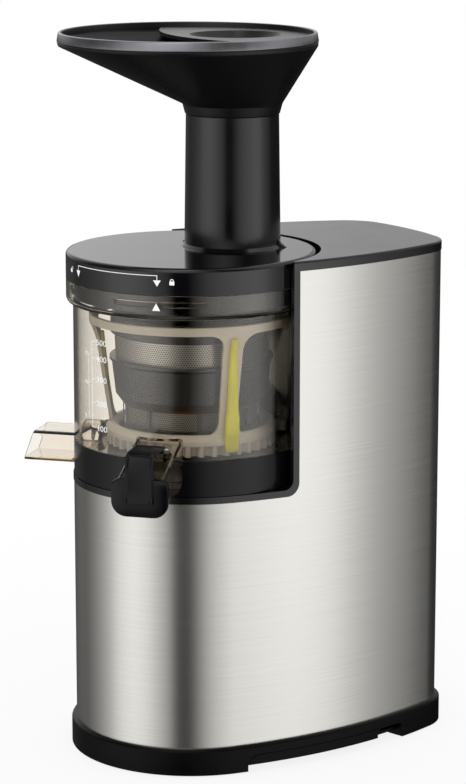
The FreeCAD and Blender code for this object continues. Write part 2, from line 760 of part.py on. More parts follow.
def bowl_outside():
    """The bowl's outer form, filled solid: foot, wall and the wide collar that takes the lid."""
    form = revolve([
        (0, GEAR_CEILING_Z), (LOWER_R, GEAR_CEILING_Z), (LOWER_R, BOWL_RING_TOP_Z),
        (BOWL_R, BOWL_RING_TOP_Z), (BOWL_R, COLLAR_Z), (COLLAR_R, COLLAR_Z),
        (COLLAR_R, BOWL_TOP_Z), (0, BOWL_TOP_Z),
    ])
    round_edges = [e for e in form.Edges
                   if abs(e.BoundBox.XMax - COLLAR_R) < 0.01 and abs(e.CenterOfMass.z - COLLAR_Z) < 0.01]
    return form.makeFillet(COLLAR_ROUND, round_edges)


def bowl_cavity():
    """The space above the floor, stepped out where the lid's skirt goes in."""
    return revolve([
        (0, FLOOR_Z), (LOWER_BORE_R, FLOOR_Z), (BOWL_BORE_R, BOWL_RING_TOP_Z),
        (BOWL_BORE_R, COLLAR_Z + COLLAR_LEDGE), (COLLAR_BORE_R, COLLAR_Z + COLLAR_LEDGE),
        (COLLAR_BORE_R, BOWL_TOP_Z + 1), (0, BOWL_TOP_Z + 1),
    ])


def lock_ribs():
    ribs = []
    for k in range(LOCKS):
        rib = revolve([(LID_SKIRT_R + LOOSE, RIB_Z), (COLLAR_BORE_R + 0.5, RIB_Z),
                       (COLLAR_BORE_R + 0.5, RIB_Z + RIB_T), (LID_SKIRT_R + LOOSE, RIB_Z + RIB_T)], RIB_SPAN)
        ribs.append(turned(rib, RIB_START + 360 * k / LOCKS))
    return ribs


FLOOR_REACH = 53.0
MID_WALL_R = (LOWER_R + LOWER_BORE_R) / 2


def mouth_edges(shape, reach):
    """The long edges of a spout that end at its mouth."""
    return [e for e in shape.Edges if e.BoundBox.XMax > reach - 0.1 and e.BoundBox.XLength > 20]


def juice_spout_outer():
    """The spout's outside, with the ramp that leads to it from the floor."""
    slope = (JUICE_ROOT_Z - JUICE_TIP_Z) / (JUICE_REACH - BOWL_BORE_R)
    inside = BOWL_BORE_R - 6
    points = [(FLOOR_REACH, FLOOR_Z), (FLOOR_REACH, FLOOR_UNDER_Z), (LOWER_BORE_R - 2, GEAR_CEILING_Z),
              (LOWER_R + 3, JUICE_BOTTOM_Z), (JUICE_REACH, JUICE_BOTTOM_Z), (JUICE_REACH, JUICE_TIP_Z),
              (inside, JUICE_ROOT_Z + slope * 6), (inside, FLOOR_Z)]
    spout = upright(points, JUICE_WIDTH)
    return spout.makeFillet(SPOUT_WALL, mouth_edges(spout, JUICE_REACH))


def juice_spout_inner():
    slope = (JUICE_ROOT_Z - JUICE_TIP_Z) / (JUICE_REACH - BOWL_BORE_R)
    root_z = JUICE_ROOT_Z - 1.5 * SPOUT_WALL
    far = JUICE_REACH + 2
    far_z = root_z - slope * (far - BOWL_BORE_R)
    points = [(FLOOR_REACH + 2, FLOOR_Z + 0.01), (LOWER_BORE_R, GEAR_CEILING_Z + SPOUT_WALL),
              (LOWER_R + 3, JUICE_BOTTOM_Z + SPOUT_WALL), (far, JUICE_BOTTOM_Z + SPOUT_WALL),
              (far, far_z), (BOWL_BORE_R, root_z), (FLOOR_REACH + 2, root_z)]
    return upright(points, JUICE_WIDTH - 2 * SPOUT_WALL)


def pulp_spout_outer():
    """The outside of the pulp spout: the channel under the floor, its rounded roof, and the mouth."""
    channel = upright([(TUBE_R, GEAR_CEILING_Z), (MID_WALL_R, GEAR_CEILING_Z), (MID_WALL_R, FLOOR_UNDER_Z),
                       (TUBE_R, FLOOR_UNDER_Z)], PULP_WIDTH)
    channel = channel.cut(cylinder(TUBE_R, 0, BOWL_TOP_Z))
    mouth = upright([(FLOOR_REACH, PULP_BOTTOM_Z), (PULP_LIP_REACH, PULP_BOTTOM_Z),
                     (PULP_TOP_REACH, PULP_TOP_Z), (FLOOR_REACH, PULP_TOP_Z)], PULP_WIDTH)
    mouth = mouth.makeFillet(SPOUT_WALL + 1, mouth_edges(mouth, PULP_TOP_REACH))
    mouth = mouth.cut(cylinder(LOWER_R + 0.6, 0, GEAR_CEILING_Z)).cut(bowl_cavity())
    hump = Part.makeCylinder(HUMP_R + SPOUT_WALL, BOWL_R - 1 - HUMP_REACH, Vector(HUMP_REACH, 0, HUMP_Z),
                             Vector(1, 0, 0))
    front = [e for e in hump.Edges if e.BoundBox.XMax < HUMP_REACH + 0.01]
    hump = hump.makeFillet(2 * SPOUT_WALL, front)
    hump = hump.common(block(0, BOWL_R, -40, 40, FLOOR_UNDER_Z, COLLAR_Z))
    return fuse(channel, mouth, hump)


def pulp_spout_inner():
    width = PULP_WIDTH - 2 * SPOUT_WALL
    low = GEAR_CEILING_Z + 1.6
    bottom = PULP_BOTTOM_Z + SPOUT_WALL
    far = PULP_LIP_REACH + 4
    duct = upright([(TUBE_R + SPOUT_WALL, low), (MID_WALL_R, low), (LOWER_R + 4, bottom),
                    (far, bottom), (far, FLOOR_UNDER_Z), (TUBE_R + SPOUT_WALL, FLOOR_UNDER_Z)], width)
    bore = upright([(MID_WALL_R, FLOOR_UNDER_Z - 4), (far, FLOOR_UNDER_Z - 4),
                    (far, PULP_TOP_Z - SPOUT_WALL), (MID_WALL_R, PULP_TOP_Z - SPOUT_WALL)], width)
    hump = Part.makeCylinder(HUMP_R, MID_WALL_R + 0.7 - HUMP_REACH - SPOUT_WALL,
                             Vector(HUMP_REACH + SPOUT_WALL, 0, HUMP_Z), Vector(1, 0, 0))
    hump = hump.common(block(0, BOWL_R, -40, 40, FLOOR_UNDER_Z - 1, COLLAR_Z))
    return [duct, bore, hump]


PULP_HOLE_SPAN = 56.0
PIN_R = 3.0


def bowl():
    """The clear cup: foot, floor with the pulp hole, wall, collar with the lid's lock ribs."""
    form = bowl_outside().cut(bowl_cavity())
    form = form.cut(cylinder(LOWER_BORE_R, GEAR_CEILING_Z - 1, FLOOR_UNDER_Z))
    form = form.cut(pointed(juice_spout_outer(), JUICE_ANGLE))
    form = form.cut(pointed(pulp_spout_outer(), PULP_ANGLE))
    tube = cylinder(TUBE_R, GEAR_CEILING_Z, TUBE_TOP_Z)
    seat = ring(SEAT_R, SEAT_R - SEAT_T, FLOOR_UNDER_Z, SEAT_TOP_Z)
    bearing = cylinder(PIN_R + 2, GEAR_CEILING_Z, FLOOR_Z, WIPER_CENTRES)
    form = fuse(form, tube, seat, bearing, *lock_ribs())
    hole_r, seat_bore = TUBE_R + 3 * SPOUT_WALL, SEAT_R - SEAT_T - 0.5
    hole = revolve([(hole_r, FLOOR_UNDER_Z - 1), (seat_bore, FLOOR_UNDER_Z - 1),
                    (seat_bore, FLOOR_Z + 1), (hole_r, FLOOR_Z + 1)], PULP_HOLE_SPAN)
    form = form.cut(turned(hole, PULP_ANGLE - PULP_HOLE_SPAN / 2))
    form = form.cut(cylinder(TUBE_BORE_R, GEAR_CEILING_Z - 2, TUBE_TOP_Z + 1))
    bore = cylinder(PIN_R + RUNNING, GEAR_CEILING_Z - 1, FLOOR_Z + 1, WIPER_CENTRES)
    return form.cut(bore).removeSplitter()


def juice_spout():
    """The clear spout that the juice runs out of, with the ramp down from the floor."""
    spout = juice_spout_outer().cut(bowl_cavity())
    spout = pointed(spout, JUICE_ANGLE)
    spout = fuse(spout, *hinge_ears()).cut(pointed(juice_spout_inner(), JUICE_ANGLE))
    return spout.cut(hinge_cylinder(HINGE_PIN_R + SEATED, STRAP_WIDTH + 8)).removeSplitter()


def pulp_spout():
    """The clear spout that the pulp is pushed out of, with its channel under the floor."""
    spout = pulp_spout_outer()
    for space in pulp_spout_inner():
        spout = spout.cut(space)
    return pointed(spout, PULP_ANGLE).removeSplitter()


def bowl_base_ring():
    """The black band round the foot of the bowl, cut away for the two spouts."""
    band = ring(BOWL_RING_R, LOWER_R, BOWL_FOOT_Z, BOWL_RING_TOP_Z)
    band = fuse(band, ring(LOWER_R + 0.5, LOWER_R - 1.0, BOWL_FOOT_Z, BOWL_GEAR_Z - 0.6))
    for angle, width, bottom in ((JUICE_ANGLE, JUICE_WIDTH, JUICE_BOTTOM_Z),
                                 (PULP_ANGLE, PULP_WIDTH, PULP_BOTTOM_Z)):
        low = bottom - 2 * SEAM
        gap = upright([(0, low), (COLLAR_R, low), (COLLAR_R, BOWL_TOP_Z), (0, BOWL_TOP_Z)],
                      width + 2 * SEAM)
        band = band.cut(pointed(gap, angle))
    return band


def bowl_seal():
    bore = HEX_FLATS / math.sqrt(3) + LOOSE
    return ring(TUBE_BORE_R - SEATED, bore, TUBE_TOP_Z - 8, TUBE_TOP_Z - 1)


# Gears under and in the bowl

def bowl_drive_gear():
    """The wheel under the bowl that the hexagon turns, with the hub that runs in the bowl's tube."""
    wheel = gear(BOWL_GEAR_TEETH, BOWL_MODULE, BOWL_GEAR_Z, BOWL_GEAR_T, shift=-PINION_SHIFT,
                 phase=wheel_phase(BOWL_GEAR_TEETH, 0.0))
    hub = cylinder(TUBE_BORE_R - RUNNING, BOWL_GEAR_Z, TUBE_TOP_Z - 9)
    return fuse(wheel, hub).cut(hexagon(HEX_FLATS + 2 * LOOSE, BOWL_GEAR_Z - 1, TUBE_TOP_Z))


def wiper_drive_gear():
    wheel = gear(LOWER_PINION_TEETH, BOWL_MODULE, BOWL_GEAR_Z, BOWL_GEAR_T, WIPER_CENTRES, 0,
                 shift=PINION_SHIFT - 0.1, steps=2, phase=180.0)
    return wheel.cut(cylinder(PIN_R - 1 + SEATED, BOWL_GEAR_Z - 1, FLOOR_Z, WIPER_CENTRES))


def wiper_pinion():
    teeth = gear(UPPER_PINION_TEETH, WIPER_MODULE, WIPER_GEAR_Z, WIPER_GEAR_T - 0.5, WIPER_CENTRES, 0,
                 shift=PINION_SHIFT, steps=3, tip_share=0.8, phase=180.0)
    collar = cylinder(PIN_R + 1.5, FLOOR_Z + LOOSE, WIPER_GEAR_Z + 1, WIPER_CENTRES)
    shaft = cylinder(PIN_R, GEAR_CEILING_Z - 0.3, FLOOR_Z + 1, WIPER_CENTRES)
    spigot = cylinder(PIN_R - 1, BOWL_GEAR_Z, FLOOR_Z, WIPER_CENTRES)
    return fuse(teeth, collar, shaft, spigot)


# Strainer

def strainer_radius(z):
    """The inner radius of the strainer at a height, by straight lines between its steps."""
    steps = STRAINER_STEPS
    for (z0, r0), (z1, r1) in zip(steps, steps[1:]):
        if z <= z1:
            return r0 + (r1 - r0) * (z - z0) / (z1 - z0)
    return steps[-1][1]


def strainer_mesh():
    inner = [(r, z) for z, r in STRAINER_STEPS]
    outer = [(r + MESH_T, z) for r, z in reversed(inner)]
    return revolve(inner + outer)


def mesh_outside(z):
    """The radius of the faces that hold the perforated sheet."""
    return strainer_radius(z) + MESH_T + MESH_SEAT


def strainer_band():
    """The solid middle of the strainer, its foot ring, and the ribs of the lower window."""
    step_high, step_top = [z for z, r in STRAINER_STEPS[2:4]]
    body = revolve([
        (mesh_outside(BAND_Z), BAND_Z), (STRAINER_RING_R, BAND_Z), (mesh_outside(step_high) + 1.6, step_high + 1),
        (mesh_outside(BAND_TOP_Z) + 2.2, BAND_TOP_Z - 3), (BAND_FLANGE_R, BAND_TOP_Z - 1.6),
        (BAND_FLANGE_R, BAND_TOP_Z), (mesh_outside(BAND_TOP_Z), BAND_TOP_Z),
        (mesh_outside(step_top), step_top), (mesh_outside(step_high), step_high),
    ])
    foot_bore = SEAT_R - SEAT_T - 0.6
    low = STRAINER_STEPS[0][0]
    foot = revolve([
        (foot_bore, SEAT_TOP_Z), (STRAINER_RING_R, SEAT_TOP_Z), (STRAINER_RING_R, STRAINER_RING_TOP_Z),
        (mesh_outside(STRAINER_RING_TOP_Z), STRAINER_RING_TOP_Z), (mesh_outside(low), low),
        (foot_bore, low),
    ])
    ribs = []
    for k in range(STRAINER_RIBS):
        rib_top = BAND_Z + 0.2
        rib = block(mesh_outside(rib_top), STRAINER_RING_R, -1.2, 1.2, STRAINER_RING_TOP_Z - 1, rib_top)
        ribs.append(turned(rib, 360 * (k + 0.5) / STRAINER_RIBS))
    return fuse(body, foot, *ribs)


def strainer_rim():
    top = STRAINER_STEPS[-1][0]
    return revolve([
        (mesh_outside(RIM_Z), RIM_Z), (RIM_R, RIM_Z + 1), (RIM_R, RIM_TOP_Z), (mesh_outside(top), RIM_TOP_Z),
        (mesh_outside(top), top),
    ])


# Auger

def flight(turn):
    """One screw ridge: a plate carried along a helix, then trimmed to the strainer's inside."""
    height = AUGER_TOP_Z - SEAT_TOP_Z
    path = Part.makeHelix(FLIGHT_PITCH, height, AUGER_CORE_R)
    path.translate(Vector(0, 0, SEAT_TOP_Z))
    inner, outer = AUGER_CORE_TOP_R - 6, STRAINER_STEPS[-1][1] + 6
    low = SEAT_TOP_Z
    corners = [Vector(inner, 0, low - FLIGHT_T), Vector(outer, 0, low - FLIGHT_T / 2),
               Vector(outer, 0, low + FLIGHT_T / 2), Vector(inner, 0, low + FLIGHT_T)]
    profile = Part.makePolygon(corners + corners[:1])
    ridge = Part.Wire(path).makePipeShell([profile], True, True)
    return turned(ridge, turn)


def auger():
    """The pressing screw: a core that thickens towards the foot, and its helical flights."""
    bore = TUBE_R + 1.2
    foot_r = strainer_radius(STRAINER_STEPS[0][0]) - 3.5
    core = revolve([
        (0, TUBE_TOP_Z + 1), (bore, TUBE_TOP_Z + 1), (bore, AUGER_Z), (foot_r, AUGER_Z),
        (foot_r, SEAT_TOP_Z + 5), (AUGER_CORE_R, SEAT_TOP_Z + 18), (AUGER_CORE_TOP_R + 6, AUGER_TOP_Z - 18),
        (AUGER_CORE_TOP_R, AUGER_TOP_Z - 4), (JOURNAL_R, AUGER_TOP_Z + 6), (0, AUGER_TOP_Z + 6),
    ])
    low = STRAINER_STEPS[0][0] + AUGER_GAP
    limit = [(r - AUGER_GAP, z) for z, r in STRAINER_STEPS[1:-1]]
    top_r = strainer_radius(AUGER_TOP_Z) - AUGER_GAP
    low_r = strainer_radius(low) - AUGER_GAP
    envelope = revolve([(0, low), (low_r, low)] + limit + [(top_r, AUGER_TOP_Z), (0, AUGER_TOP_Z)])
    ridges = [flight(360 * k / FLIGHTS).common(envelope) for k in range(FLIGHTS)]
    keep_out = cylinder(bore, 0, TUBE_TOP_Z + 1)
    ridges = [r.cut(keep_out) for r in ridges]
    journal = cylinder(JOURNAL_R, AUGER_TOP_Z, JOURNAL_TOP_Z)
    screw = fuse(core, journal, *ridges)
    return screw.cut(cylinder(INSERT_R, TUBE_TOP_Z, INSERT_TOP_Z))


INSERT_TOP_Z = DRIVE_TOP_Z + 4


def auger_insert():
    insert = cylinder(INSERT_R - SEATED, INSERT_Z, INSERT_TOP_Z)
    return insert.cut(hexagon(HEX_FLATS + 2 * LOOSE, INSERT_Z - 1, DRIVE_TOP_Z + 1))


# Wiper

def wiper_cone(step):
    """A solid bounded by the wiper's outer face, moved inwards by a step."""
    return revolve([
        (0, WIPER_GEAR_Z + WIPER_GEAR_T), (WIPER_BASE_R - step, WIPER_GEAR_Z + WIPER_GEAR_T),
        (WIPER_BASE_R - step, WIPER_CONE_Z), (WIPER_TOP_R - step, WIPER_FLARE_Z),
        (WIPER_RIM_R - step, WIPER_TOP_Z - 3), (WIPER_RIM_R - step, WIPER_TOP_Z), (0, WIPER_TOP_Z),
    ])


def window():
    """The space between two posts, with rounded corners."""
    post_angle = math.degrees(POST_WIDTH / (WIPER_BASE_R + WIPER_TOP_R) * 2)
    span = 360 / WIPER_POSTS - post_angle
    space = revolve([(WIPER_BORE_R - 5, WINDOW_Z), (WIPER_RIM_R + 5, WINDOW_Z),
                     (WIPER_RIM_R + 5, WINDOW_TOP_Z), (WIPER_BORE_R - 5, WINDOW_TOP_Z)], span)
    corners = [e for e in space.Edges if e.BoundBox.ZLength < 0.01 and isinstance(e.Curve, Part.Line)]
    return turned(space.makeFillet(WINDOW_ROUND, corners), post_angle / 2)


def wiper_frame():
    """A tapered cage with open windows, standing on a toothed ring."""
    cage = wiper_cone(0.0).cut(wiper_cone(WIPER_T))
    top = WIPER_GEAR_Z + WIPER_GEAR_T
    flange = revolve([(WIPER_BORE_R, top), (WIPER_BASE_R + 2.4, top), (WIPER_BASE_R + 2.4, top + 3),
                      (WIPER_BASE_R, top + 6), (WIPER_BASE_R - WIPER_T, top + 6), (WIPER_BORE_R, top + 3)])
    teeth = gear(WIPER_TEETH, WIPER_MODULE, WIPER_GEAR_Z, WIPER_GEAR_T + 0.2,
                 shift=-PINION_SHIFT, tip_share=0.8, phase=wheel_phase(WIPER_TEETH, 0.0))
    cage = fuse(cage, flange, teeth)
    cage = cage.cut(cylinder(WIPER_BORE_R, WIPER_GEAR_Z - 1, top + 1))
    for k in range(WIPER_POSTS):
        cage = cage.cut(turned(window(), FIRST_POST + 360 * k / WIPER_POSTS))
    for k in range(WIPER_POSTS):
        slot = block(WIPER_BORE_R, WIPER_RIM_R + 5, -BLADE_ROOT / 2, BLADE_ROOT / 2, BLADE_Z + 8, BLADE_TOP_Z - 4)
        cage = cage.cut(turned(slot, FIRST_POST + 360 * k / WIPER_POSTS))
    return cage.removeSplitter()


BLADE_Z = 197.0
BLADE_TOP_Z = 258.0
BLADE_ROOT = 3.4
BLADE_PROUD = 4.0
BLADE_HALF_WIDTHS = ((193.5, 3.6), (198.5, 4.4), (206.0, 5.2), (214.0, 4.6), (222.0, 4.0), (256.0, 2.4))


def outer_blade():
    """The silicone blade that wipes the bowl: narrow at the top, broad near the foot."""
    right = [Vector(0, half, z) for z, half in BLADE_HALF_WIDTHS]
    left = [Vector(0, -half, z) for z, half in reversed(BLADE_HALF_WIDTHS)]
    top = BLADE_HALF_WIDTHS[-1]
    tip = Vector(0, 0, top[0] + top[1])
    face = Part.Face(Part.makePolygon(right + [tip] + left + right[:1]))
    plate = face.extrude(Vector(BOWL_BORE_R, 0, 0))
    reach = WIPER_TOP_R + BLADE_PROUD
    low_reach = WIPER_BASE_R + 2.4 + BLADE_PROUD
    over_hump = HUMP_Z + HUMP_R + SPOUT_WALL + 1.0
    body = revolve([(0, BLADE_Z - 10), (HUMP_REACH - 0.8, BLADE_Z - 10), (HUMP_REACH - 0.8, over_hump),
                    (low_reach, over_hump + 1.5), (low_reach + 2, WIPER_CONE_Z + 6),
                    (reach + 1, WIPER_TOP_Z), (0, WIPER_TOP_Z)])
    # the blade stands just off the cage and its toothed ring, and its root passes through the slot
    shadow = revolve([(0, 0), (WIPER_BASE_R + 2.5, 0), (WIPER_BASE_R + 2.5, WIPER_CONE_Z),
                      (WIPER_TOP_R + SEATED, WIPER_FLARE_Z), (WIPER_RIM_R + SEATED, WIPER_TOP_Z - 3),
                      (WIPER_RIM_R + SEATED, WIPER_TOP_Z), (0, WIPER_TOP_Z)])
    return fuse(plate.common(body).cut(shadow), blade_root(WIPER_TOP_R))


def blade_root(reach):
    half = BLADE_ROOT / 2 - SEATED
    inner = WIPER_BASE_R - WIPER_T - 1.0
    root = block(inner, reach + 2, -half, half, BLADE_Z + 8 + SEATED, BLADE_TOP_Z - 4 - SEATED)
    shadow = wiper_cone(WIPER_T + 0.6)
    outer = revolve([(0, 0), (WIPER_BASE_R + 3, 0), (WIPER_BASE_R + 3, WIPER_CONE_Z),
                     (WIPER_TOP_R + 0.6, WIPER_FLARE_Z), (WIPER_TOP_R + 0.6, WIPER_TOP_Z), (0, WIPER_TOP_Z)])
    return root.common(outer).cut(shadow)


def inner_blade():
    """The blade that wipes the strainer, held in the same kind of slot from the inside."""
    half = 2.6
    clear = BAND_FLANGE_R + 0.8
    lip = block(clear, WIPER_TOP_R, -half, half, WIPER_CONE_Z + 12, BLADE_TOP_Z - 2)
    lip = lip.common(revolve([(0, 0), (WIPER_BASE_R - WIPER_T - SEATED, 0),
                              (WIPER_BASE_R - WIPER_T - SEATED, WIPER_CONE_Z),
                              (WIPER_TOP_R - WIPER_T - SEATED, WIPER_FLARE_Z), (0, WIPER_FLARE_Z)]))
    return fuse(lip, blade_root(WIPER_TOP_R))


def wiper_blades():
    blades = [turned(outer_blade(), FIRST_POST)]
    for k in range(1, WIPER_POSTS):
        blades.append(turned(inner_blade(), FIRST_POST + 360 * k / WIPER_POSTS))
    return Part.makeCompound(blades)


# Juice cap and its hinge

def hinge_cylinder(radius, length):
    pin = Part.makeCylinder(radius, length, Vector(HINGE_REACH, -length / 2, HINGE_Z), Vector(0, 1, 0))
    return pointed(pin, JUICE_ANGLE)


def hinge_ears():
    """Two lugs on the roof of the juice spout that hold the cap's pin."""
    slope = (JUICE_ROOT_Z - JUICE_TIP_Z) / (JUICE_REACH - BOWL_BORE_R)
    roof_z = JUICE_ROOT_Z - slope * (HINGE_REACH - BOWL_BORE_R)
    ears = []
    for side in (-1, 1):
        middle = side * (STRAP_WIDTH / 2 + LOOSE + 1.0)
        ear = upright([(HINGE_REACH - 4, roof_z + 1), (HINGE_REACH + 4, roof_z - 2.5),
                       (HINGE_REACH + 2, HINGE_Z), (HINGE_REACH, HINGE_Z + 2.2), (HINGE_REACH - 2, HINGE_Z)], 2.0)
        ear.translate(Vector(0, middle, 0))
        ears.append(pointed(ear, JUICE_ANGLE))
    return ears


def cap_hinge_pin():
    return hinge_cylinder(HINGE_PIN_R, STRAP_WIDTH + 5)


def juice_cap():
    """A pad over the mouth of the juice spout, carried by a strap that arches down before it."""
    back = JUICE_REACH + LOOSE
    pad = slab(CAP_WIDTH, CAP_TOP_Z - CAP_BOTTOM_Z, CAP_T, 6.0)
    front_edges = [e for e in pad.Edges if e.BoundBox.YMin > CAP_T - 0.01]
    pad = pad.makeFillet(1.0, front_edges)
    pad.rotate(Vector(0, 0, 0), UP, -90)
    pad.translate(Vector(back, 0, (CAP_TOP_Z + CAP_BOTTOM_Z) / 2))
    top = HINGE_Z + HINGE_BARREL_R
    knee = JUICE_REACH - 3
    outer = [(HINGE_REACH, top), (knee - 2, top), (knee + 1.6, top - 1.4), (knee + 3.6, top - 5),
             (JUICE_REACH + 3, CAP_TOP_Z + 1), (STRAP_REACH - 0.6, 182.0), (STRAP_REACH, 177.5),
             (STRAP_REACH - 0.8, 174.5), (back + CAP_T - 0.5, 173.0)]
    inner = [(back + CAP_T - 0.5, 173.0 + STRAP_T), (STRAP_REACH - 1.2 - STRAP_T * 0.4, 176.3),
             (STRAP_REACH - 0.4 - STRAP_T, 182.0), (JUICE_REACH + 3 - STRAP_T, CAP_TOP_Z + 1),
             (knee + 3.6 - STRAP_T, top - 5.4), (knee - 0.4, top - STRAP_T - 0.6), (knee - 2.5, top - STRAP_T),
             (HINGE_REACH, top - STRAP_T)]
    strap = upright(outer + inner, STRAP_WIDTH)
    barrel = Part.makeCylinder(HINGE_BARREL_R, STRAP_WIDTH, Vector(HINGE_REACH, -STRAP_WIDTH / 2, HINGE_Z),
                               Vector(0, 1, 0))
    cap = pointed(fuse(pad, strap, barrel), JUICE_ANGLE)
    return cap.cut(hinge_cylinder(HINGE_PIN_R + RUNNING, STRAP_WIDTH + 10))


def cap_seal():
    """The soft plug on the pad. Its back slopes so that it swings clear of the spout's roof."""
    low = JUICE_BOTTOM_Z + SPOUT_WALL + LOOSE + 0.3
    high = JUICE_TIP_Z - 1.5 * SPOUT_WALL - LOOSE - 0.5
    back = JUICE_REACH + LOOSE
    mouth_drop = HINGE_Z - (JUICE_TIP_Z - 1.5 * SPOUT_WALL)
    swing = math.hypot(JUICE_REACH - HINGE_REACH, mouth_drop) + 0.7
    inner_top = HINGE_Z - math.sqrt(swing ** 2 - (back - PLUG_DEPTH - HINGE_REACH) ** 2)
    plug = upright([(back - PLUG_DEPTH, low), (back, low), (back, high), (back - 0.5, high),
                    (back - PLUG_DEPTH, inner_top)], JUICE_WIDTH - 2 * SPOUT_WALL - 2 * LOOSE)
    return pointed(plug, JUICE_ANGLE)


# Lid and chute

def lid_shell():
    """The flat lid with its band and skirt, the funnel over the strainer and the centre boss."""
    bottom = BOWL_TOP_Z + LOOSE
    plate_under = LID_TOP_Z - LID_PLATE_T
    groove_top = bottom + 4.5
    outline = [
        (0, LID_TOP_Z), (LID_R, LID_TOP_Z), (LID_R, bottom), (LID_SKIRT_R, bottom),
        (LID_SKIRT_R, LID_SKIRT_Z), (LID_SKIRT_R - LID_SKIRT_T, LID_SKIRT_Z),
        (LID_SKIRT_R - LID_SKIRT_T, groove_top), (LID_R - LID_BAND_T, groove_top),
        (LID_R - LID_BAND_T, plate_under), (0, plate_under),
    ]
    shell = revolve(outline)
    rim = [e for e in shell.Edges
           if abs(e.BoundBox.XMax - LID_R) < 0.01 and abs(e.CenterOfMass.z - LID_TOP_Z) < 0.01]
    return shell.makeFillet(LID_ROUND, rim)


def lid_funnel():
    low_r = strainer_radius(RIM_TOP_Z) - 1.0
    mouth = CHUTE_X + CHUTE_BORE_R + 1.5
    top = LID_TOP_Z - LID_PLATE_T + 1
    low = RIM_TOP_Z - 4.0
    return revolve([(low_r - 2, low), (low_r, low), (low_r, RIM_TOP_Z + 6), (mouth + 2, top),
                    (mouth, top), (low_r - 2, RIM_TOP_Z + 6)])


def lid_lugs():
    lugs = []
    centre = RIB_START + RIB_SPAN / 2
    high = RIB_Z - LOOSE - 0.1
    for k in range(LOCKS):
        lug = revolve([(LID_SKIRT_R - 0.5, high - LUG_T), (COLLAR_BORE_R - LOOSE - 0.1, high - LUG_T),
                       (COLLAR_BORE_R - LOOSE - 0.1, high), (LID_SKIRT_R - 0.5, high)], LUG_SPAN)
        lugs.append(turned(lug, centre - LUG_SPAN / 2 + 360 * k / LOCKS))
    return lugs


def chute_fins():
    fins = []
    for angle in FIN_ANGLES:
        fin = upright([(CHUTE_R - 2, LID_TOP_Z), (CHUTE_R + FIN_LENGTH, LID_TOP_Z),
                       (CHUTE_R + 1.5, LID_TOP_Z + FIN_HEIGHT * 0.45),
                       (CHUTE_R, LID_TOP_Z + FIN_HEIGHT), (CHUTE_R - 2, LID_TOP_Z + FIN_HEIGHT)], FIN_T)
        fin = turned(fin, angle)
        fin.translate(Vector(CHUTE_X, 0, 0))
        fins.append(fin)
    return fins


def lid():
    """The twist lid without its chute."""
    boss = cylinder(BOSS_R, BOSS_Z, LID_TOP_Z - 1)
    solid = fuse(lid_shell(), lid_funnel(), boss, *lid_lugs())
    under = LID_TOP_Z - LID_PLATE_T - 1
    solid = solid.cut(cylinder(CHUTE_BORE_R + CHUTE_SPIGOT_T, under, LID_TOP_Z + 1, CHUTE_X))
    solid = solid.cut(cylinder(BUSH_R, BOSS_Z - 1, JOURNAL_TOP_Z + 1))
    groove = ring(LID_R - 1.2, LID_SKIRT_R + 1.0, BOWL_TOP_Z, BOWL_TOP_Z + LOOSE + 2)
    return solid.cut(groove).removeSplitter()


def feed_chute():
    """The tall chute, let into the lid, with a flared foot and two small fins."""
    low = LID_TOP_Z - LID_PLATE_T
    tube = cone(CHUTE_R, CHUTE_TOP_R, LID_TOP_Z, CHUTE_TOP_Z, CHUTE_X)
    spigot = cylinder(CHUTE_BORE_R + CHUTE_SPIGOT_T, low, LID_TOP_Z + 1, CHUTE_X)
    flare = cone(CHUTE_R + CHUTE_FLARE, CHUTE_R - 0.2, LID_TOP_Z, LID_TOP_Z + CHUTE_FLARE, CHUTE_X)
    chute = fuse(tube, spigot, flare, *chute_fins())
    return chute.cut(cylinder(CHUTE_BORE_R, low - 1, CHUTE_TOP_Z + 1, CHUTE_X))


def lid_seal():
    low = BOWL_TOP_Z + LOOSE
    return ring(LID_R - 1.2 - SEATED, LID_SKIRT_R + 1.0 + SEATED, low, low + 2 - SEATED)


def lid_bush():
    return ring(BUSH_R - SEATED, JOURNAL_R + RUNNING, BOSS_Z + 1, JOURNAL_TOP_Z + 1)


# Hopper

def oblique_cone(low_r, high_r, low, high):
    """A ruled solid from the chute's circle up to the wider circle of the rim."""
    bottom = Part.Wire(Part.makeCircle(low_r, Vector(CHUTE_X, 0, low)))
    top = Part.Wire(Part.makeCircle(high_r, Vector(HOPPER_X, 0, high)))
    return Part.makeLoft([bottom, top], True, True)


def hopper_tray():
    """A tilted funnel on a round neck, whose spigot slides into the chute."""
    low = CHUTE_TOP_Z + LOOSE + 0.1
    spigot_r = CHUTE_BORE_R - LOOSE - 0.1
    bore = spigot_r - HOPPER_WALL
    neck = cone(NECK_R, NECK_TOP_R, low, NECK_TOP_Z, CHUTE_X)
    spigot = cylinder(spigot_r, low - SPIGOT_DEPTH, low + 1, CHUTE_X)
    funnel = oblique_cone(NECK_TOP_R, HOPPER_R, NECK_TOP_Z, HOPPER_BAND_Z)
    band = cylinder(HOPPER_R, HOPPER_BAND_Z, HOPPER_TOP_Z, HOPPER_X)
    tray = fuse(funnel, neck, spigot, band)
    inside_r = HOPPER_R - HOPPER_WALL
    hollow = oblique_cone(bore + 1.5, inside_r, NECK_TOP_Z + 1.6, HOPPER_BAND_Z + 2)
    tray = tray.cut(hollow)
    tray = tray.cut(cylinder(inside_r, HOPPER_BAND_Z + 2, HOPPER_TOP_Z + 1, HOPPER_X))
    return tray.cut(cone(bore, bore + 1.5, low - SPIGOT_DEPTH - 1, NECK_TOP_Z + 1.6, CHUTE_X))


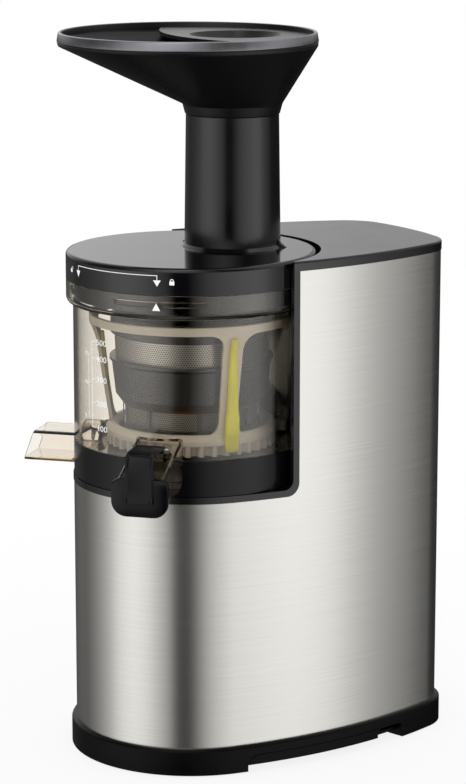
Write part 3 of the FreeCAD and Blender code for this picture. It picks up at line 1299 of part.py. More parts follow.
def hopper_guard():
    """The flat plate over the rear of the hopper, with its dished feed hole."""
    top = HOPPER_TOP_Z - GUARD_DROP
    low = top - GUARD_T
    plate_r = HOPPER_R - HOPPER_WALL - SEAM
    plate = cylinder(plate_r, low, top, HOPPER_X)
    edge_x = GUARD_EDGE_X + GUARD_EDGE_R
    reach = cylinder(GUARD_EDGE_R, low - 1, top + 1, edge_x)
    plate = plate.common(reach)
    corners = [e for e in plate.Edges if e.BoundBox.XLength < 0.01 and e.BoundBox.YLength < 0.01
               and e.BoundBox.ZLength > 1 and e.CenterOfMass.x < CHUTE_X]
    plate = plate.makeFillet(6.0, corners)
    dish_z = top - GUARD_DISH_DEPTH
    slope = (GUARD_DISH_R - GUARD_HOLE_R) / GUARD_DISH_DEPTH
    dish = cone(GUARD_HOLE_R + GUARD_T, GUARD_DISH_R + GUARD_T, dish_z, top, GUARD_HOLE_X)
    plate = fuse(plate, dish)
    over = GUARD_HOLE_R - slope
    opening = cone(over, GUARD_DISH_R + slope, dish_z - 1, top + 1, GUARD_HOLE_X)
    return plate.cut(opening).removeSplitter()


# Switch, gland and electrical parts

def switch_place(shape):
    shape.translate(Vector(SIDE_X, HALF_WIDTH, SWITCH_Z))
    return on_side(shape)


ROCKER_PIVOT_DEPTH = 3.0


def rocker_pivot(radius, length):
    return Part.makeCylinder(radius, length, Vector(-length / 2, -ROCKER_PIVOT_DEPTH, 0), Vector(1, 0, 0))


def switch_bezel():
    """A frame clipped into the body's side, with the box that holds the contacts behind it."""
    frame = slab(BEZEL[0], BEZEL[1], 1.6, 4)
    box = slab(BEZEL[0] - 4.6, BEZEL[1] - 4.6, 14, 2.7)
    box.translate(Vector(0, -14, 0))
    body = fuse(frame, box)
    well = slab(ROCKER[0] + 2 * LOOSE, ROCKER[1] + 2.4, 12, 1.4)
    well.translate(Vector(0, -10, 0))
    body = body.cut(well)
    return switch_place(body.cut(rocker_pivot(1.5, BEZEL[0] - 8)))


def rocker_switch():
    """A rocker with two sloping faces that meet at the middle, on a cross pin."""
    half_w, half_h = ROCKER[0] / 2, ROCKER[1] / 2
    outline = [(-ROCKER_PIVOT_DEPTH - 2.5, -3.5), (-0.6, -half_h), (2.6, -half_h + 0.3), (1.0, 0),
               (2.6, half_h - 0.3), (-0.6, half_h), (-ROCKER_PIVOT_DEPTH - 2.5, 3.5)]
    points = [Vector(-half_w, y, z) for y, z in outline]
    rocker = Part.Face(Part.makePolygon(points + points[:1])).extrude(Vector(ROCKER[0], 0, 0))
    return switch_place(fuse(rocker, rocker_pivot(1.5 - RUNNING, BEZEL[0] - 8.2)))


def cord_gland():
    out = Vector(1, 0, 0)
    flange = Part.makeCylinder(GLAND_R + 2, 2, Vector(REAR_X, 0, GLAND_Z), out)
    body = Part.makeCylinder(GLAND_R - SEATED, 14, Vector(REAR_X - 13, 0, GLAND_Z), out)
    gland = fuse(flange.makeFillet(0.8, [flange.Edges[0]]), body)
    return gland.cut(Part.makeCylinder(GLAND_BORE_R, 30, Vector(REAR_X - 20, 0, GLAND_Z), out))


PLATE_TOP_Z = RAISED_Z + PLATE_T


def board_bracket():
    """A folded plate on the floor of the body that holds the control board upright."""
    wide = BOARD[0] / 2
    foot = block(BOARD_X - 14, BOARD_X, -wide, wide, PLATE_TOP_Z, PLATE_TOP_Z + 1.5)
    wall = block(BOARD_X - 1.5, BOARD_X, -wide, wide, PLATE_TOP_Z, PLATE_TOP_Z + BOARD[1] + 8)
    posts = []
    for y, z in board_corners():
        posts.append(Part.makeCylinder(3, 6, Vector(BOARD_X - 0.5, y, z), Vector(1, 0, 0)))
    return fuse(foot, wall, *posts)


def board_corners():
    low = PLATE_TOP_Z + 10
    return [(side * (BOARD[0] / 2 - 5), z) for side in (-1, 1) for z in (low, low + BOARD[1] - 10)]


def control_board():
    wide = BOARD[0] / 2
    face_x = BOARD_X + 5.5
    low = PLATE_TOP_Z + 5
    board = block(face_x, face_x + 1.6, -wide, wide, low, low + BOARD[1])
    relay = block(face_x + 1, face_x + 14, -20, -2, low + 12, low + 30)
    choke = Part.makeCylinder(8, 9, Vector(face_x + 1, 12, low + 40), Vector(1, 0, 0))
    return fuse(board, relay, choke)


def run_capacitor():
    x, y = CAPACITOR_XY
    can = cylinder(CAPACITOR_R, PLATE_TOP_Z, PLATE_TOP_Z + CAPACITOR_LENGTH, x, y)
    return can.makeFillet(2, [can.Edges[0]])


NODES = {
    "rubber_feet": rubber_feet, "base_skirt": base_skirt, "bottom_plate": bottom_plate,
    "base_screws": base_screws, "body_shell": body_shell, "bowl_bay": bowl_bay,
    "tower_cover": tower_cover, "motor_stator": motor_stator, "motor_windings": motor_windings,
    "motor_shields": motor_shields, "motor_bearings": motor_bearings, "motor_rotor": motor_rotor,
    "motor_pinion": motor_pinion, "gearbox_case": gearbox_case, "gearbox_lid": gearbox_lid,
    "gearbox_screws": gearbox_screws, "output_bearings": output_bearings,
    "intermediate_axle": intermediate_axle, "intermediate_gear": intermediate_gear,
    "output_gear": output_gear, "drive_shaft": drive_shaft, "shaft_seal": shaft_seal,
    "bowl": bowl, "juice_spout": juice_spout, "pulp_spout": pulp_spout, "bowl_base_ring": bowl_base_ring, "bowl_seal": bowl_seal,
    "bowl_drive_gear": bowl_drive_gear, "wiper_drive_gear": wiper_drive_gear,
    "wiper_pinion": wiper_pinion, "strainer_mesh": strainer_mesh, "strainer_band": strainer_band,
    "strainer_rim": strainer_rim, "auger": auger, "auger_insert": auger_insert,
    "wiper_frame": wiper_frame, "wiper_blades": wiper_blades, "cap_hinge_pin": cap_hinge_pin,
    "juice_cap": juice_cap, "cap_seal": cap_seal, "lid": lid, "feed_chute": feed_chute, "lid_seal": lid_seal,
    "lid_bush": lid_bush, "hopper_tray": hopper_tray, "hopper_guard": hopper_guard,
    "switch_bezel": switch_bezel, "rocker_switch": rocker_switch, "cord_gland": cord_gland,
    "board_bracket": board_bracket, "control_board": control_board, "run_capacitor": run_capacitor,
}


def main():
    os.makedirs("parts", exist_ok=True)
    for name, make in NODES.items():
        shape = make()
        print(name, "solids", len(shape.Solids), "valid", shape.isValid(), "volume", round(shape.Volume, 1))
        shape.exportStep(f"parts/{name}.step")


main()
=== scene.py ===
"""Looks of the upright slow juicer: finishes, new surfaces, printed marks, light and camera."""
import math

import bmesh
import bpy
import numpy as np
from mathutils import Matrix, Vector


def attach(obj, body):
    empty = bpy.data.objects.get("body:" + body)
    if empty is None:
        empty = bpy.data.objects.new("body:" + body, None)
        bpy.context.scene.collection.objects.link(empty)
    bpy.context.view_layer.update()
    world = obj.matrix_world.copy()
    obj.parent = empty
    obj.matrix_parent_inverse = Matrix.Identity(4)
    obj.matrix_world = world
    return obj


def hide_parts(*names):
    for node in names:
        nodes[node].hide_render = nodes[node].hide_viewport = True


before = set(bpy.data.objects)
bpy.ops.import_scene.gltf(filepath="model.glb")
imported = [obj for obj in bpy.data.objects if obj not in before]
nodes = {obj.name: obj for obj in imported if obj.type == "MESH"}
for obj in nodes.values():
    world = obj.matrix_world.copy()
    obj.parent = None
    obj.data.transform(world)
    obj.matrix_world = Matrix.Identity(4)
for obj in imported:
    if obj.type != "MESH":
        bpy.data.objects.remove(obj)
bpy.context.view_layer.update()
MM = 0.001


# Materials

class Wiring:
    """A tree of shader nodes, and short ways to add to it."""

    def __init__(self, tree):
        self.tree = tree

    def add(self, kind, **values):
        """A new node; each value goes to the input of that name, or else to the node's own setting."""
        node = self.tree.nodes.new(kind)
        for key, value in values.items():
            if key in node.inputs:
                node.inputs[key].default_value = value
            else:
                setattr(node, key, value)
        return node

    def link(self, source, target):
        self.tree.links.new(source, target)

    def math(self, operation, first, second=None, clamp=False):
        """One sum; each side is a number or a socket."""
        node = self.add("ShaderNodeMath", operation=operation, use_clamp=clamp)
        for socket, value in zip(node.inputs, (first, second)):
            if isinstance(value, (int, float)):
                socket.default_value = value
            elif value is not None:
                self.link(value, socket)
        return node.outputs[0]

    def spread(self, factor, low, high, start=0.0, end=1.0):
        """Low to high as the factor goes from start to end."""
        node = self.add("ShaderNodeMapRange")
        for key, value in zip(("From Min", "From Max", "To Min", "To Max"), (start, end, low, high)):
            node.inputs[key].default_value = value
        self.link(factor, node.inputs["Value"])
        return node.outputs["Result"]

    def split(self, source):
        """The X, Y and Z of a vector, by name."""
        node = self.add("ShaderNodeSeparateXYZ")
        self.link(source, node.inputs[0])
        return node.outputs


class Finish(Wiring):
    """One material: a Principled shader, and short ways to add the detail that feeds it."""

    def __init__(self, name, colour, rough, metal=0.0, ior=1.5):
        self.material = bpy.data.materials.new(name)
        self.material.use_nodes = True
        super().__init__(self.material.node_tree)
        self.shader = self.tree.nodes["Principled BSDF"]
        self.set(Metallic=metal, Roughness=rough, IOR=ior)
        self.shader.inputs["Base Color"].default_value = (*colour, 1.0)
        self.colour = colour
        self.place = self.add("ShaderNodeTexCoord").outputs["Object"]

    def set(self, **values):
        for key, value in values.items():
            self.shader.inputs[key.replace("_", " ")].default_value = value

    def uv(self):
        return self.add("ShaderNodeUVMap", uv_map="UVMap").outputs["UV"]

    def stretched(self, source, scale):
        mapping = self.add("ShaderNodeMapping")
        mapping.inputs["Scale"].default_value = scale
        self.link(source, mapping.inputs["Vector"])
        return mapping.outputs["Vector"]

    def noise(self, scale, detail=2.0, source=None):
        node = self.add("ShaderNodeTexNoise")
        node.inputs["Scale"].default_value = scale
        node.inputs["Detail"].default_value = detail
        self.link(source or self.place, node.inputs["Vector"])
        return node.outputs["Fac"]

    def blend(self, factor, first, second):
        """A colour between two others; each is a colour or a socket."""
        node = self.add("ShaderNodeMix", data_type="RGBA")
        self.link(factor, node.inputs["Factor"])
        for key, value in (("A", first), ("B", second)):
            sockets = [s for s in node.inputs if s.name == key and s.type == "RGBA"]
            if isinstance(value, tuple):
                sockets[0].default_value = (*value, 1.0)
            else:
                self.link(value, sockets[0])
        return [s for s in node.outputs if s.type == "RGBA"][0]

    def tint(self, socket):
        self.link(socket, self.shader.inputs["Base Color"])

    def rough(self, socket):
        self.link(socket, self.shader.inputs["Roughness"])

    def bump(self, height, strength, distance):
        node = self.add("ShaderNodeBump")
        node.inputs["Strength"].default_value = strength
        node.inputs["Distance"].default_value = distance
        self.link(height, node.inputs["Height"])
        self.link(node.outputs["Normal"], self.shader.inputs["Normal"])

    def mottle(self, scale, amount, rough_span=0.0):
        """Slight cloudiness of the colour, and of the gloss."""
        field = self.noise(scale, 3.0)
        pale = tuple(min(1.0, c * (1 + amount)) for c in self.colour)
        deep = tuple(c * (1 - amount) for c in self.colour)
        self.tint(self.blend(self.spread(field, 0, 1, 0.3, 0.7), deep, pale))
        if rough_span:
            base = self.shader.inputs["Roughness"].default_value
            self.rough(self.spread(field, base - rough_span, base + rough_span, 0.3, 0.7))


def moulded(name, colour, rough, grain, depth, amount=0.15, shine=0.5):
    """Moulded plastic: faint cloudiness and a very fine grain."""
    f = Finish(name, colour, rough)
    f.set(Specular_IOR_Level=shine)
    f.mottle(35.0, amount, rough * 0.12)
    f.bump(f.noise(grain, 2.0), 0.35, depth)
    return f.material


def brushed_steel(name):
    """Steel brushed round the body: long fine scratches along the sheet, read from its own UV in metres."""
    f = Finish(name, (0.64, 0.63, 0.595), 0.3, metal=1.0)
    f.set(Anisotropic=0.6, Anisotropic_Rotation=0.25)
    tangent = f.add("ShaderNodeTangent", direction_type="UV_MAP", uv_map="UVMap")
    f.link(tangent.outputs["Tangent"], f.shader.inputs["Tangent"])
    strokes = f.noise(1.0, 3.0, f.stretched(f.uv(), (14.0, 3400.0, 1.0)))
    coarse = f.noise(1.0, 2.0, f.stretched(f.uv(), (5.0, 700.0, 1.0)))
    both = f.math("ADD", f.math("MULTIPLY", strokes, 0.75), f.math("MULTIPLY", coarse, 0.25))
    field = f.spread(both, 0, 1, 0.3, 0.7)
    f.tint(f.blend(field, (0.595, 0.585, 0.55), (0.675, 0.665, 0.63)))
    f.rough(f.spread(field, 0.23, 0.27))
    f.bump(strokes, 0.12, 0.00001)
    return f.material


def bright_metal(name, colour, rough, grain=700.0):
    """Bare metal: slight cloudiness and a fine grain."""
    f = Finish(name, colour, rough, metal=1.0)
    f.mottle(60.0, 0.12, rough * 0.2)
    f.bump(f.noise(grain, 2.0), 0.3, 0.00001)
    return f.material


def clear_plastic(name, colour, density):
    """Clear plastic that takes its tint from the depth of material light passes: pale through a wall,
    deep brown along an edge. A very faint waviness bends what is seen through it."""
    f = Finish(name, (0.98, 0.975, 0.965), 0.0, ior=1.49)
    f.set(Transmission_Weight=1.0)
    f.mottle(18.0, 0.015)
    f.bump(f.noise(60.0, 1.0), 0.04, 0.00002)
    depth = f.add("ShaderNodeVolumeAbsorption", Color=(*colour, 1.0), Density=density)
    f.link(depth.outputs["Volume"], f.tree.nodes["Material Output"].inputs["Volume"])
    return f.material


def soft_rubber(name, colour, rough=0.45):
    """Silicone or rubber: a soft sheen, slight cloudiness and a fine grain."""
    f = Finish(name, colour, rough, ior=1.42)
    f.set(Sheen_Weight=0.15, Sheen_Roughness=0.4)
    f.mottle(45.0, 0.10, 0.05)
    f.bump(f.noise(1600.0, 2.0), 0.3, 0.00001)
    return f.material


AMBER_GLINT_Z = 214.8
AMBER_GLINT_HALF = 1.6


def strainer_plastic(name):
    """Glossy brown-black plastic with a painted amber glint near the band's lower edge, standing in for light
    shining through the thin plastic there.
    """
    dark = (0.010, 0.008, 0.007)
    f = Finish(name, dark, 0.3)
    f.set(Specular_IOR_Level=1.0)
    # Painted light: a bright amber tint near the band's lower edge stands in for light through the thin
    # plastic; the rest keeps the plastic's own near-black brown.
    off = f.math("ABSOLUTE", f.math("SUBTRACT", f.split(f.place)["Z"], AMBER_GLINT_Z * MM))
    near_edge = f.math("SUBTRACT", 1.0, f.math("MULTIPLY", off, 1 / (AMBER_GLINT_HALF * MM)), clamp=True)
    patchy_glint = f.math("MULTIPLY", near_edge, f.spread(f.noise(90.0, 2.0), 0.2, 1.3, 0.35, 0.65))
    f.tint(f.blend(patchy_glint, dark, (0.16, 0.045, 0.008)))
    f.rough(f.spread(f.noise(40.0), 0.30, 0.34, 0.3, 0.7))
    return f.material


LAMINATION = 0.9


def rolled_stack(name):
    """Thin steel laminations: fine lines up the stack."""
    f = Finish(name, (0.34, 0.34, 0.35), 0.4, metal=1.0)
    lines = f.math("SINE", f.math("MULTIPLY", f.split(f.place)["Z"], 2 * math.pi / (LAMINATION * MM)))
    f.tint(f.blend(f.spread(lines, 0, 1, -1, 1), (0.22, 0.22, 0.23), (0.42, 0.42, 0.43)))
    f.bump(lines, 0.4, 0.00005)
    return f.material


def perforated_steel(name, pitch, hole):
    """Steel sheet with staggered round holes, counted along the sheet's own UV in metres. The holes are
    painted near-black for the dark auger and the painted shade inside seen through them.

    Two square lattices, one half a step on, make the staggered pattern; a hole is where the nearer
    lattice point is closer than the hole's radius.
    """
    steel = (0.60, 0.585, 0.55)
    f = Finish(name, steel, 0.34, metal=1.0)
    spot = f.split(f.uv())
    across, along = pitch * MM, pitch * MM * math.sqrt(3)
    gaps = []
    for shift in (0.0, 0.5):
        squares = []
        for axis, step in (("X", across), ("Y", along)):
            cell = f.math("FRACT", f.math("ADD", f.math("DIVIDE", spot[axis], step), shift + 100))
            off = f.math("MULTIPLY", f.math("SUBTRACT", cell, 0.5), step)
            squares.append(f.math("MULTIPLY", off, off))
        gaps.append(f.math("SQRT", f.math("ADD", *squares)))
    near = f.math("MINIMUM", *gaps)
    solid = f.spread(near, 0, 1, (hole - 0.05) * MM, (hole + 0.05) * MM)
    # Painted shade: the holes are coloured near-black for the dark auger and the shade inside seen through
    # them; the sheet is not cut open.
    f.tint(f.blend(solid, (0.03, 0.028, 0.025), steel))
    f.link(solid, f.shader.inputs["Metallic"])
    f.bump(solid, 0.6, 0.0002)
    return f.material


def printed(name):
    """White screen print with a faint painted glow: a weak emission makes it brighter than the lamps alone
    would.
    """
    f = Finish(name, (0.93, 0.93, 0.92), 0.4)
    # Painted light: a weak white emission makes the print glow slightly, though it is no lamp.
    f.shader.inputs["Emission Color"].default_value = (1, 1, 1, 1)
    f.set(Emission_Strength=0.12)
    f.mottle(900.0, 0.04, 0.04)
    return f.material


GLOSS = moulded("gloss_black", (0.004, 0.004, 0.005), 0.17, 900.0, 0.000006)
LID_GLOSS = moulded("lid_black", (0.003, 0.003, 0.004), 0.10, 700.0, 0.000004)
SATIN = moulded("satin_black", (0.003, 0.003, 0.003), 0.30, 1800.0, 0.00001, shine=0.07)
CAP_BLACK = moulded("cap_black", (0.003, 0.003, 0.004), 0.13, 1300.0, 0.000006, shine=0.2)
HOPPER = moulded("hopper_black", (0.005, 0.005, 0.006), 0.30, 1500.0, 0.00001, shine=0.4)
GUNMETAL = bright_metal("gunmetal_band", (0.27, 0.265, 0.285), 0.28, 1500.0)
RING = moulded("ring_black", (0.003, 0.003, 0.004), 0.20, 1500.0, 0.000008, shine=0.25)
BAY = moulded("bay_black", (0.003, 0.003, 0.003), 0.20, 1800.0, 0.00001)
STEEL = brushed_steel("brushed_steel")
SMOKE = clear_plastic("smoky_clear", (0.70, 0.52, 0.22), 70.0)
AMBER = clear_plastic("amber_clear", (0.78, 0.62, 0.36), 130.0)
BEIGE = moulded("warm_beige", (0.80, 0.74, 0.64), 0.33, 1500.0, 0.00001, 0.05)
YELLOW = soft_rubber("yellow_silicone", (0.95, 0.86, 0.03))
SEAL = soft_rubber("grey_seal", (0.42, 0.42, 0.40))
FEET = soft_rubber("black_rubber", (0.02, 0.02, 0.02), 0.6)
MESH = perforated_steel("perforated_steel", 1.4, 0.37)
BAND = strainer_plastic("strainer_brown")
SCREW = bright_metal("screw_steel", (0.55, 0.55, 0.54), 0.3)
SHAFT = bright_metal("shaft_steel", (0.62, 0.62, 0.60), 0.22)
COPPER = bright_metal("copper_wire", (0.72, 0.36, 0.20), 0.35)
CASTING = bright_metal("cast_alloy", (0.50, 0.50, 0.51), 0.5, 1400.0)
STACK = rolled_stack("laminations")
GEAR = moulded("gear_white", (0.72, 0.71, 0.66), 0.35, 1200.0, 0.00001, 0.05)
SCREW_BLACK = moulded("screw_black", (0.02, 0.02, 0.02), 0.3, 1200.0, 0.00001)
BOARD = moulded("board_green", (0.02, 0.16, 0.07), 0.35, 2600.0, 0.00002)
CAPACITOR = moulded("capacitor_grey", (0.30, 0.31, 0.33), 0.35, 1200.0, 0.00001)
PRINT = printed("white_print")

FINISHES = {
    FEET: ["rubber_feet"],
    SATIN: ["base_skirt", "bottom_plate", "board_bracket", "cord_gland", "switch_bezel"],
    SCREW: ["base_screws", "gearbox_screws", "motor_bearings", "output_bearings"],
    SHAFT: ["drive_shaft", "intermediate_axle", "motor_pinion", "auger_insert", "cap_hinge_pin",
            "output_gear"],
    STEEL: ["body_shell"],
    BAY: ["bowl_bay"],
    RING: ["bowl_base_ring"],
    GLOSS: ["tower_cover", "feed_chute", "rocker_switch"],
    CAP_BLACK: ["juice_cap"],
    HOPPER: ["hopper_tray", "hopper_guard"],
    LID_GLOSS: ["lid"],
    STACK: ["motor_stator", "motor_rotor"],
    COPPER: ["motor_windings"],
    CASTING: ["motor_shields", "gearbox_case", "gearbox_lid"],
    GEAR: ["intermediate_gear", "bowl_drive_gear", "wiper_drive_gear", "wiper_pinion", "lid_bush"],
    SEAL: ["shaft_seal", "bowl_seal", "lid_seal"],
    SMOKE: ["bowl"],
    AMBER: ["juice_spout", "pulp_spout"],
    MESH: ["strainer_mesh"],
    BAND: ["strainer_band", "strainer_rim"],
    SCREW_BLACK: ["auger"],
    BEIGE: ["wiper_frame"],
    YELLOW: ["wiper_blades", "cap_seal"],
    BOARD: ["control_board"],
    CAPACITOR: ["run_capacitor"],
}
for material, names in FINISHES.items():
    for name in names:
        if name in nodes:
            mesh = nodes[name].data
            mesh.materials.clear()
            mesh.materials.append(material)


# Surfaces

def surface(name, patches, material, body, replaces=()):
    """Joins grids of points into one mesh with a UV map. A patch is (points, uv); rows run up the
    surface and columns run anticlockwise, so that faces look outwards. With a list of materials,
    each patch takes its own."""
    points, uvs, faces, picks, start = [], [], [], [], 0
    for number, (grid, uv) in enumerate(patches):
        rows, columns = grid.shape[:2]
        index = start + np.arange(rows * columns).reshape(rows, columns)
        quads = np.stack([index[:-1, :-1], index[:-1, 1:], index[1:, 1:], index[1:, :-1]], -1)
        points.append(grid.reshape(-1, 3))
        uvs.append(uv.reshape(-1, 2))
        faces.append(quads.reshape(-1, 4))
        picks.append(np.full(len(faces[-1]), number if isinstance(material, list) else 0))
        start += rows * columns
    points, uvs, faces = np.vstack(points), np.vstack(uvs), np.vstack(faces)
    mesh = bpy.data.meshes.new(name)
    mesh.from_pydata(points * MM, [], faces)
    layer = mesh.uv_layers.new(name="UVMap")
    layer.data.foreach_set("uv", (uvs[faces.ravel()] * MM).ravel().astype(np.float32))
    mesh.polygons.foreach_set("material_index", np.concatenate(picks))
    work = bmesh.new()
    work.from_mesh(mesh)
    bmesh.ops.remove_doubles(work, verts=work.verts, dist=1e-6)
    bmesh.ops.dissolve_degenerate(work, edges=work.edges, dist=1e-7)
    work.to_mesh(mesh)
    work.free()
    mesh.shade_smooth()
    mesh.set_sharp_from_angle(angle=math.radians(40))
    sides, sharp = np.empty(len(mesh.loops), int), np.empty(len(mesh.edges), bool)
    mesh.loops.foreach_get("edge_index", sides)
    mesh.edges.foreach_get("use_edge_sharp", sharp)
    mesh.edges.foreach_set("use_edge_sharp", sharp | (np.bincount(sides, minlength=len(sharp)) == 1))
    for choice in material if isinstance(material, list) else [material]:
        mesh.materials.append(choice)
    piece = bpy.data.objects.new(name, mesh)
    bpy.context.scene.collection.objects.link(piece)
    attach(piece, body)
    if replaces:
        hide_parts(*replaces)
    return piece


FRONT_R = 71.4
SIDE_R = 285.0
HALF_WIDTH = 74.0
REAR_CORNER_R = 28.0
REAR_ARC_R = 200.0
REAR_X = 157.3
SHELL_Z = 16.8
SHELL_TOP_Z = 300.6
NOTCH_X = 31.4
NOTCH_Z = 166.5
NOTCH_CORNER_R = 8.0
STEEL_WALL = 0.8


def shell_outline(count):
    """The body's plan as points at even steps: nose arc, side arc, rear corner and rear arc, then
    the same mirrored. Starts and ends at the middle of the nose and runs anticlockwise."""
    side_centre = SIDE_R - HALF_WIDTH
    side_x = math.sqrt((SIDE_R - FRONT_R) ** 2 - side_centre ** 2)
    rear_x = REAR_X - REAR_ARC_R
    # The turn at which the rear corner's arc also touches the side's, found by halving.
    low, high = 0.0, 0.5
    for _ in range(60):
        turn = (low + high) / 2
        reach = REAR_ARC_R - REAR_CORNER_R
        corner = np.array([rear_x + reach * math.cos(turn), -reach * math.sin(turn)])
        if math.hypot(corner[0] - side_x, corner[1] - side_centre) > SIDE_R - REAR_CORNER_R:
            high = turn
        else:
            low = turn
    toward = math.atan2(corner[1] - side_centre, corner[0] - side_x)
    nose = math.atan2(-side_centre, -side_x)
    arcs = [((0, 0), FRONT_R, -math.pi, nose), ((side_x, side_centre), SIDE_R, nose, toward),
            (corner, REAR_CORNER_R, toward, -turn), ((rear_x, 0), REAR_ARC_R, -turn, 0)]
    lines = []
    for centre, radius, first, last in arcs:
        angle = np.linspace(first, last, 400)
        lines.append(np.asarray(centre) + radius * np.stack([np.cos(angle), np.sin(angle)], -1))
    half = np.vstack(lines)
    full = np.vstack([half, half[::-1] * (1, -1)])
    step = np.r_[0, np.cumsum(np.hypot(*np.diff(full, axis=0).T))]
    keep = np.r_[True, np.diff(step) > 1e-9]
    full, step = full[keep], step[keep]
    even = np.linspace(0, step[-1], count)
    return np.stack([np.interp(even, step, full[:, 0]), np.interp(even, step, full[:, 1])], -1), even


def steel_wrap():
    """The wrapped steel sheet. Height is a function of the way round: it runs from the skirt to the
    deck line round the nose, climbs a quarter circle at the notch's corner, then to the tower's top."""
    plan, way = shell_outline(721)
    corner = np.interp(NOTCH_X, plan[:300, 0], way[:300])
    bend = corner - NOTCH_CORNER_R * (1 - np.sin(np.linspace(0, np.pi / 2, 9)))
    half = np.unique(np.r_[way[way < corner - 0.2], bend, corner])
    rear = np.linspace(corner, way[-1] - corner, 420)
    steps = np.unique(np.round(np.r_[half, rear, way[-1] - half], 5))
    xy = np.stack([np.interp(steps, way, plan[:, 0]), np.interp(steps, way, plan[:, 1])], -1)
    short = np.minimum(steps, way[-1] - steps)
    off = np.clip(short - (corner - NOTCH_CORNER_R), 0, NOTCH_CORNER_R)
    top = NOTCH_Z + NOTCH_CORNER_R - np.sqrt(NOTCH_CORNER_R ** 2 - off ** 2)

    def patch(columns, low, high, rows):
        rise = np.linspace(0, 1, rows)[:, None]
        z = low[columns] + (high[columns] - low[columns]) * rise
        x, y, along = (np.broadcast_to(row[columns], z.shape) for row in (xy[:, 0], xy[:, 1], steps))
        return np.dstack([x, y, z]), np.dstack([along, z])

    everywhere = np.full(len(steps), True)
    tower = short >= corner - 1e-4
    base = np.full(len(steps), SHELL_Z)
    high = np.full(len(steps), SHELL_TOP_Z)
    piece = surface("steel_wrap", [patch(everywhere, base, top, 8), patch(tower, top, high, 8)], STEEL,
                    "body", ["body_shell"])
    wall = piece.modifiers.new("wall", "SOLIDIFY")
    wall.thickness = STEEL_WALL * MM
    wall.offset = -1


ARC_POINTS = 5


def rounded(corners, radii, steps=ARC_POINTS):
    """A closed loop of straight legs whose corners are replaced by arcs. At each corner the arc
    starts radius / tan(half the angle) before it, and its points turn evenly about its centre."""
    corners = np.asarray(corners, float)
    before, after = np.roll(corners, 1, 0), np.roll(corners, -1, 0)
    loop = []
    for here, last, following, radius in zip(corners, before, after, radii):
        back, on = last - here, following - here
        back, on = back / np.hypot(*back), on / np.hypot(*on)
        half = math.acos(np.clip(back @ on, -1, 1)) / 2
        reach = radius / math.tan(half)
        centre = here + (back + on) / np.hypot(*(back + on)) * radius / math.sin(half)
        first, final = here + back * reach - centre, here + on * reach - centre
        start = math.atan2(first[1], first[0])
        sweep = (math.atan2(final[1], final[0]) - start + math.pi) % (2 * math.pi) - math.pi
        turn = start + sweep * np.linspace(0, 1, steps)
        loop.append(centre + radius * np.stack([np.cos(turn), np.sin(turn)], -1))
    return np.vstack(loop)


def turned(profile, centre_x, columns):
    """A profile of (radius, height) carried round an upright axis: x = centre + radius cos(turn),
    y = radius sin(turn). The centre may slide with height. Returns the grid and its UV."""
    turn = np.linspace(0, 2 * np.pi, columns)[None, :]
    radius, z = profile[:, :1], profile[:, 1:]
    middle = np.asarray(centre_x(z) if callable(centre_x) else np.full_like(z, centre_x))
    grid = np.dstack([middle + radius * np.cos(turn), radius * np.sin(turn), z + 0 * turn])
    way = np.r_[0, np.cumsum(np.hypot(*np.diff(profile, axis=0).T))][:, None]
    return grid, np.dstack([turn * np.mean(radius) + 0 * z, way + 0 * turn])


def closed(profile):
    """The same line with its first point again at the end."""
    return np.vstack([profile, profile[:1]])


CHUTE_X = 28.5
RIM_X = -1.8
RIM_R = 77.2
NECK_Z = 372.0
FUNNEL_Z = 392.0
BAND_Z = 428.0
RIM_TOP_Z = 435.6


def hopper_shell():
    """The tilted tray: one closed wall profile carried round an axis that slides from the chute's
    centre to the rim's as the funnel rises, with a soft rim and a thin groove under the band."""
    corners = [(25.0, NECK_Z), (25.0, 386.0), (28.4, 386.0), (30.0, FUNNEL_Z),
               (RIM_R - 0.6, BAND_Z - 0.5), (RIM_R - 0.1, BAND_Z + 1.5), (RIM_R - 0.6, BAND_Z + 1.7),
               (RIM_R - 0.6, BAND_Z + 2.1), (RIM_R, BAND_Z + 2.3), (RIM_R - 0.9, RIM_TOP_Z),
               (RIM_R - 2.9, RIM_TOP_Z), (RIM_R - 2.9, BAND_Z + 2), (24.4, FUNNEL_Z + 1.6), (22.7, NECK_Z)]
    radii = [0.4, 0.3, 0.5, 2.5, 0.8, 0.2, 0.1, 0.1, 0.2, 1.1, 0.9, 3.0, 4.0, 0.4]
    profile = closed(rounded(corners, radii))
    # The grey band runs from the ninth corner to the middle of the eleventh.
    first, last = ARC_POINTS * 8, ARC_POINTS * 10 + 3

    def slide(z):
        return CHUTE_X + (RIM_X - CHUTE_X) * np.clip((z - FUNNEL_Z) / (BAND_Z - FUNNEL_Z), 0, 1)

    parts = [turned(part, slide, 193)
             for part in (profile[:first + 1], profile[first:last], profile[last - 1:])]
    surface("hopper_shell", parts, [HOPPER, GUNMETAL, HOPPER], "hopper", ["hopper_tray"])


def strainer_sheet():
    """The perforated cone: a thin closed profile of four straight slopes carried round the axis."""
    steps = np.array([(38.8, 199.5), (39.7, 213.5), (43.4, 219.0), (45.0, 241.5), (45.9, 263.0)])
    outer = steps + (0.6, 0)
    profile = closed(np.vstack([outer, steps[::-1]]))
    surface("strainer_sheet", [turned(profile, 0.0, 241)], MESH, "bowl_unit", ["strainer_mesh"])


FIRST_POST = -94.0
CAGE_Z = [196.5, 201.0, 253.0, 264.0, 270.0]
CAGE_R = [49.4, 49.4, 57.4, 61.4, 61.4]
CAGE_T = 2.2
POST_HALF = 5.9
TEETH = 40


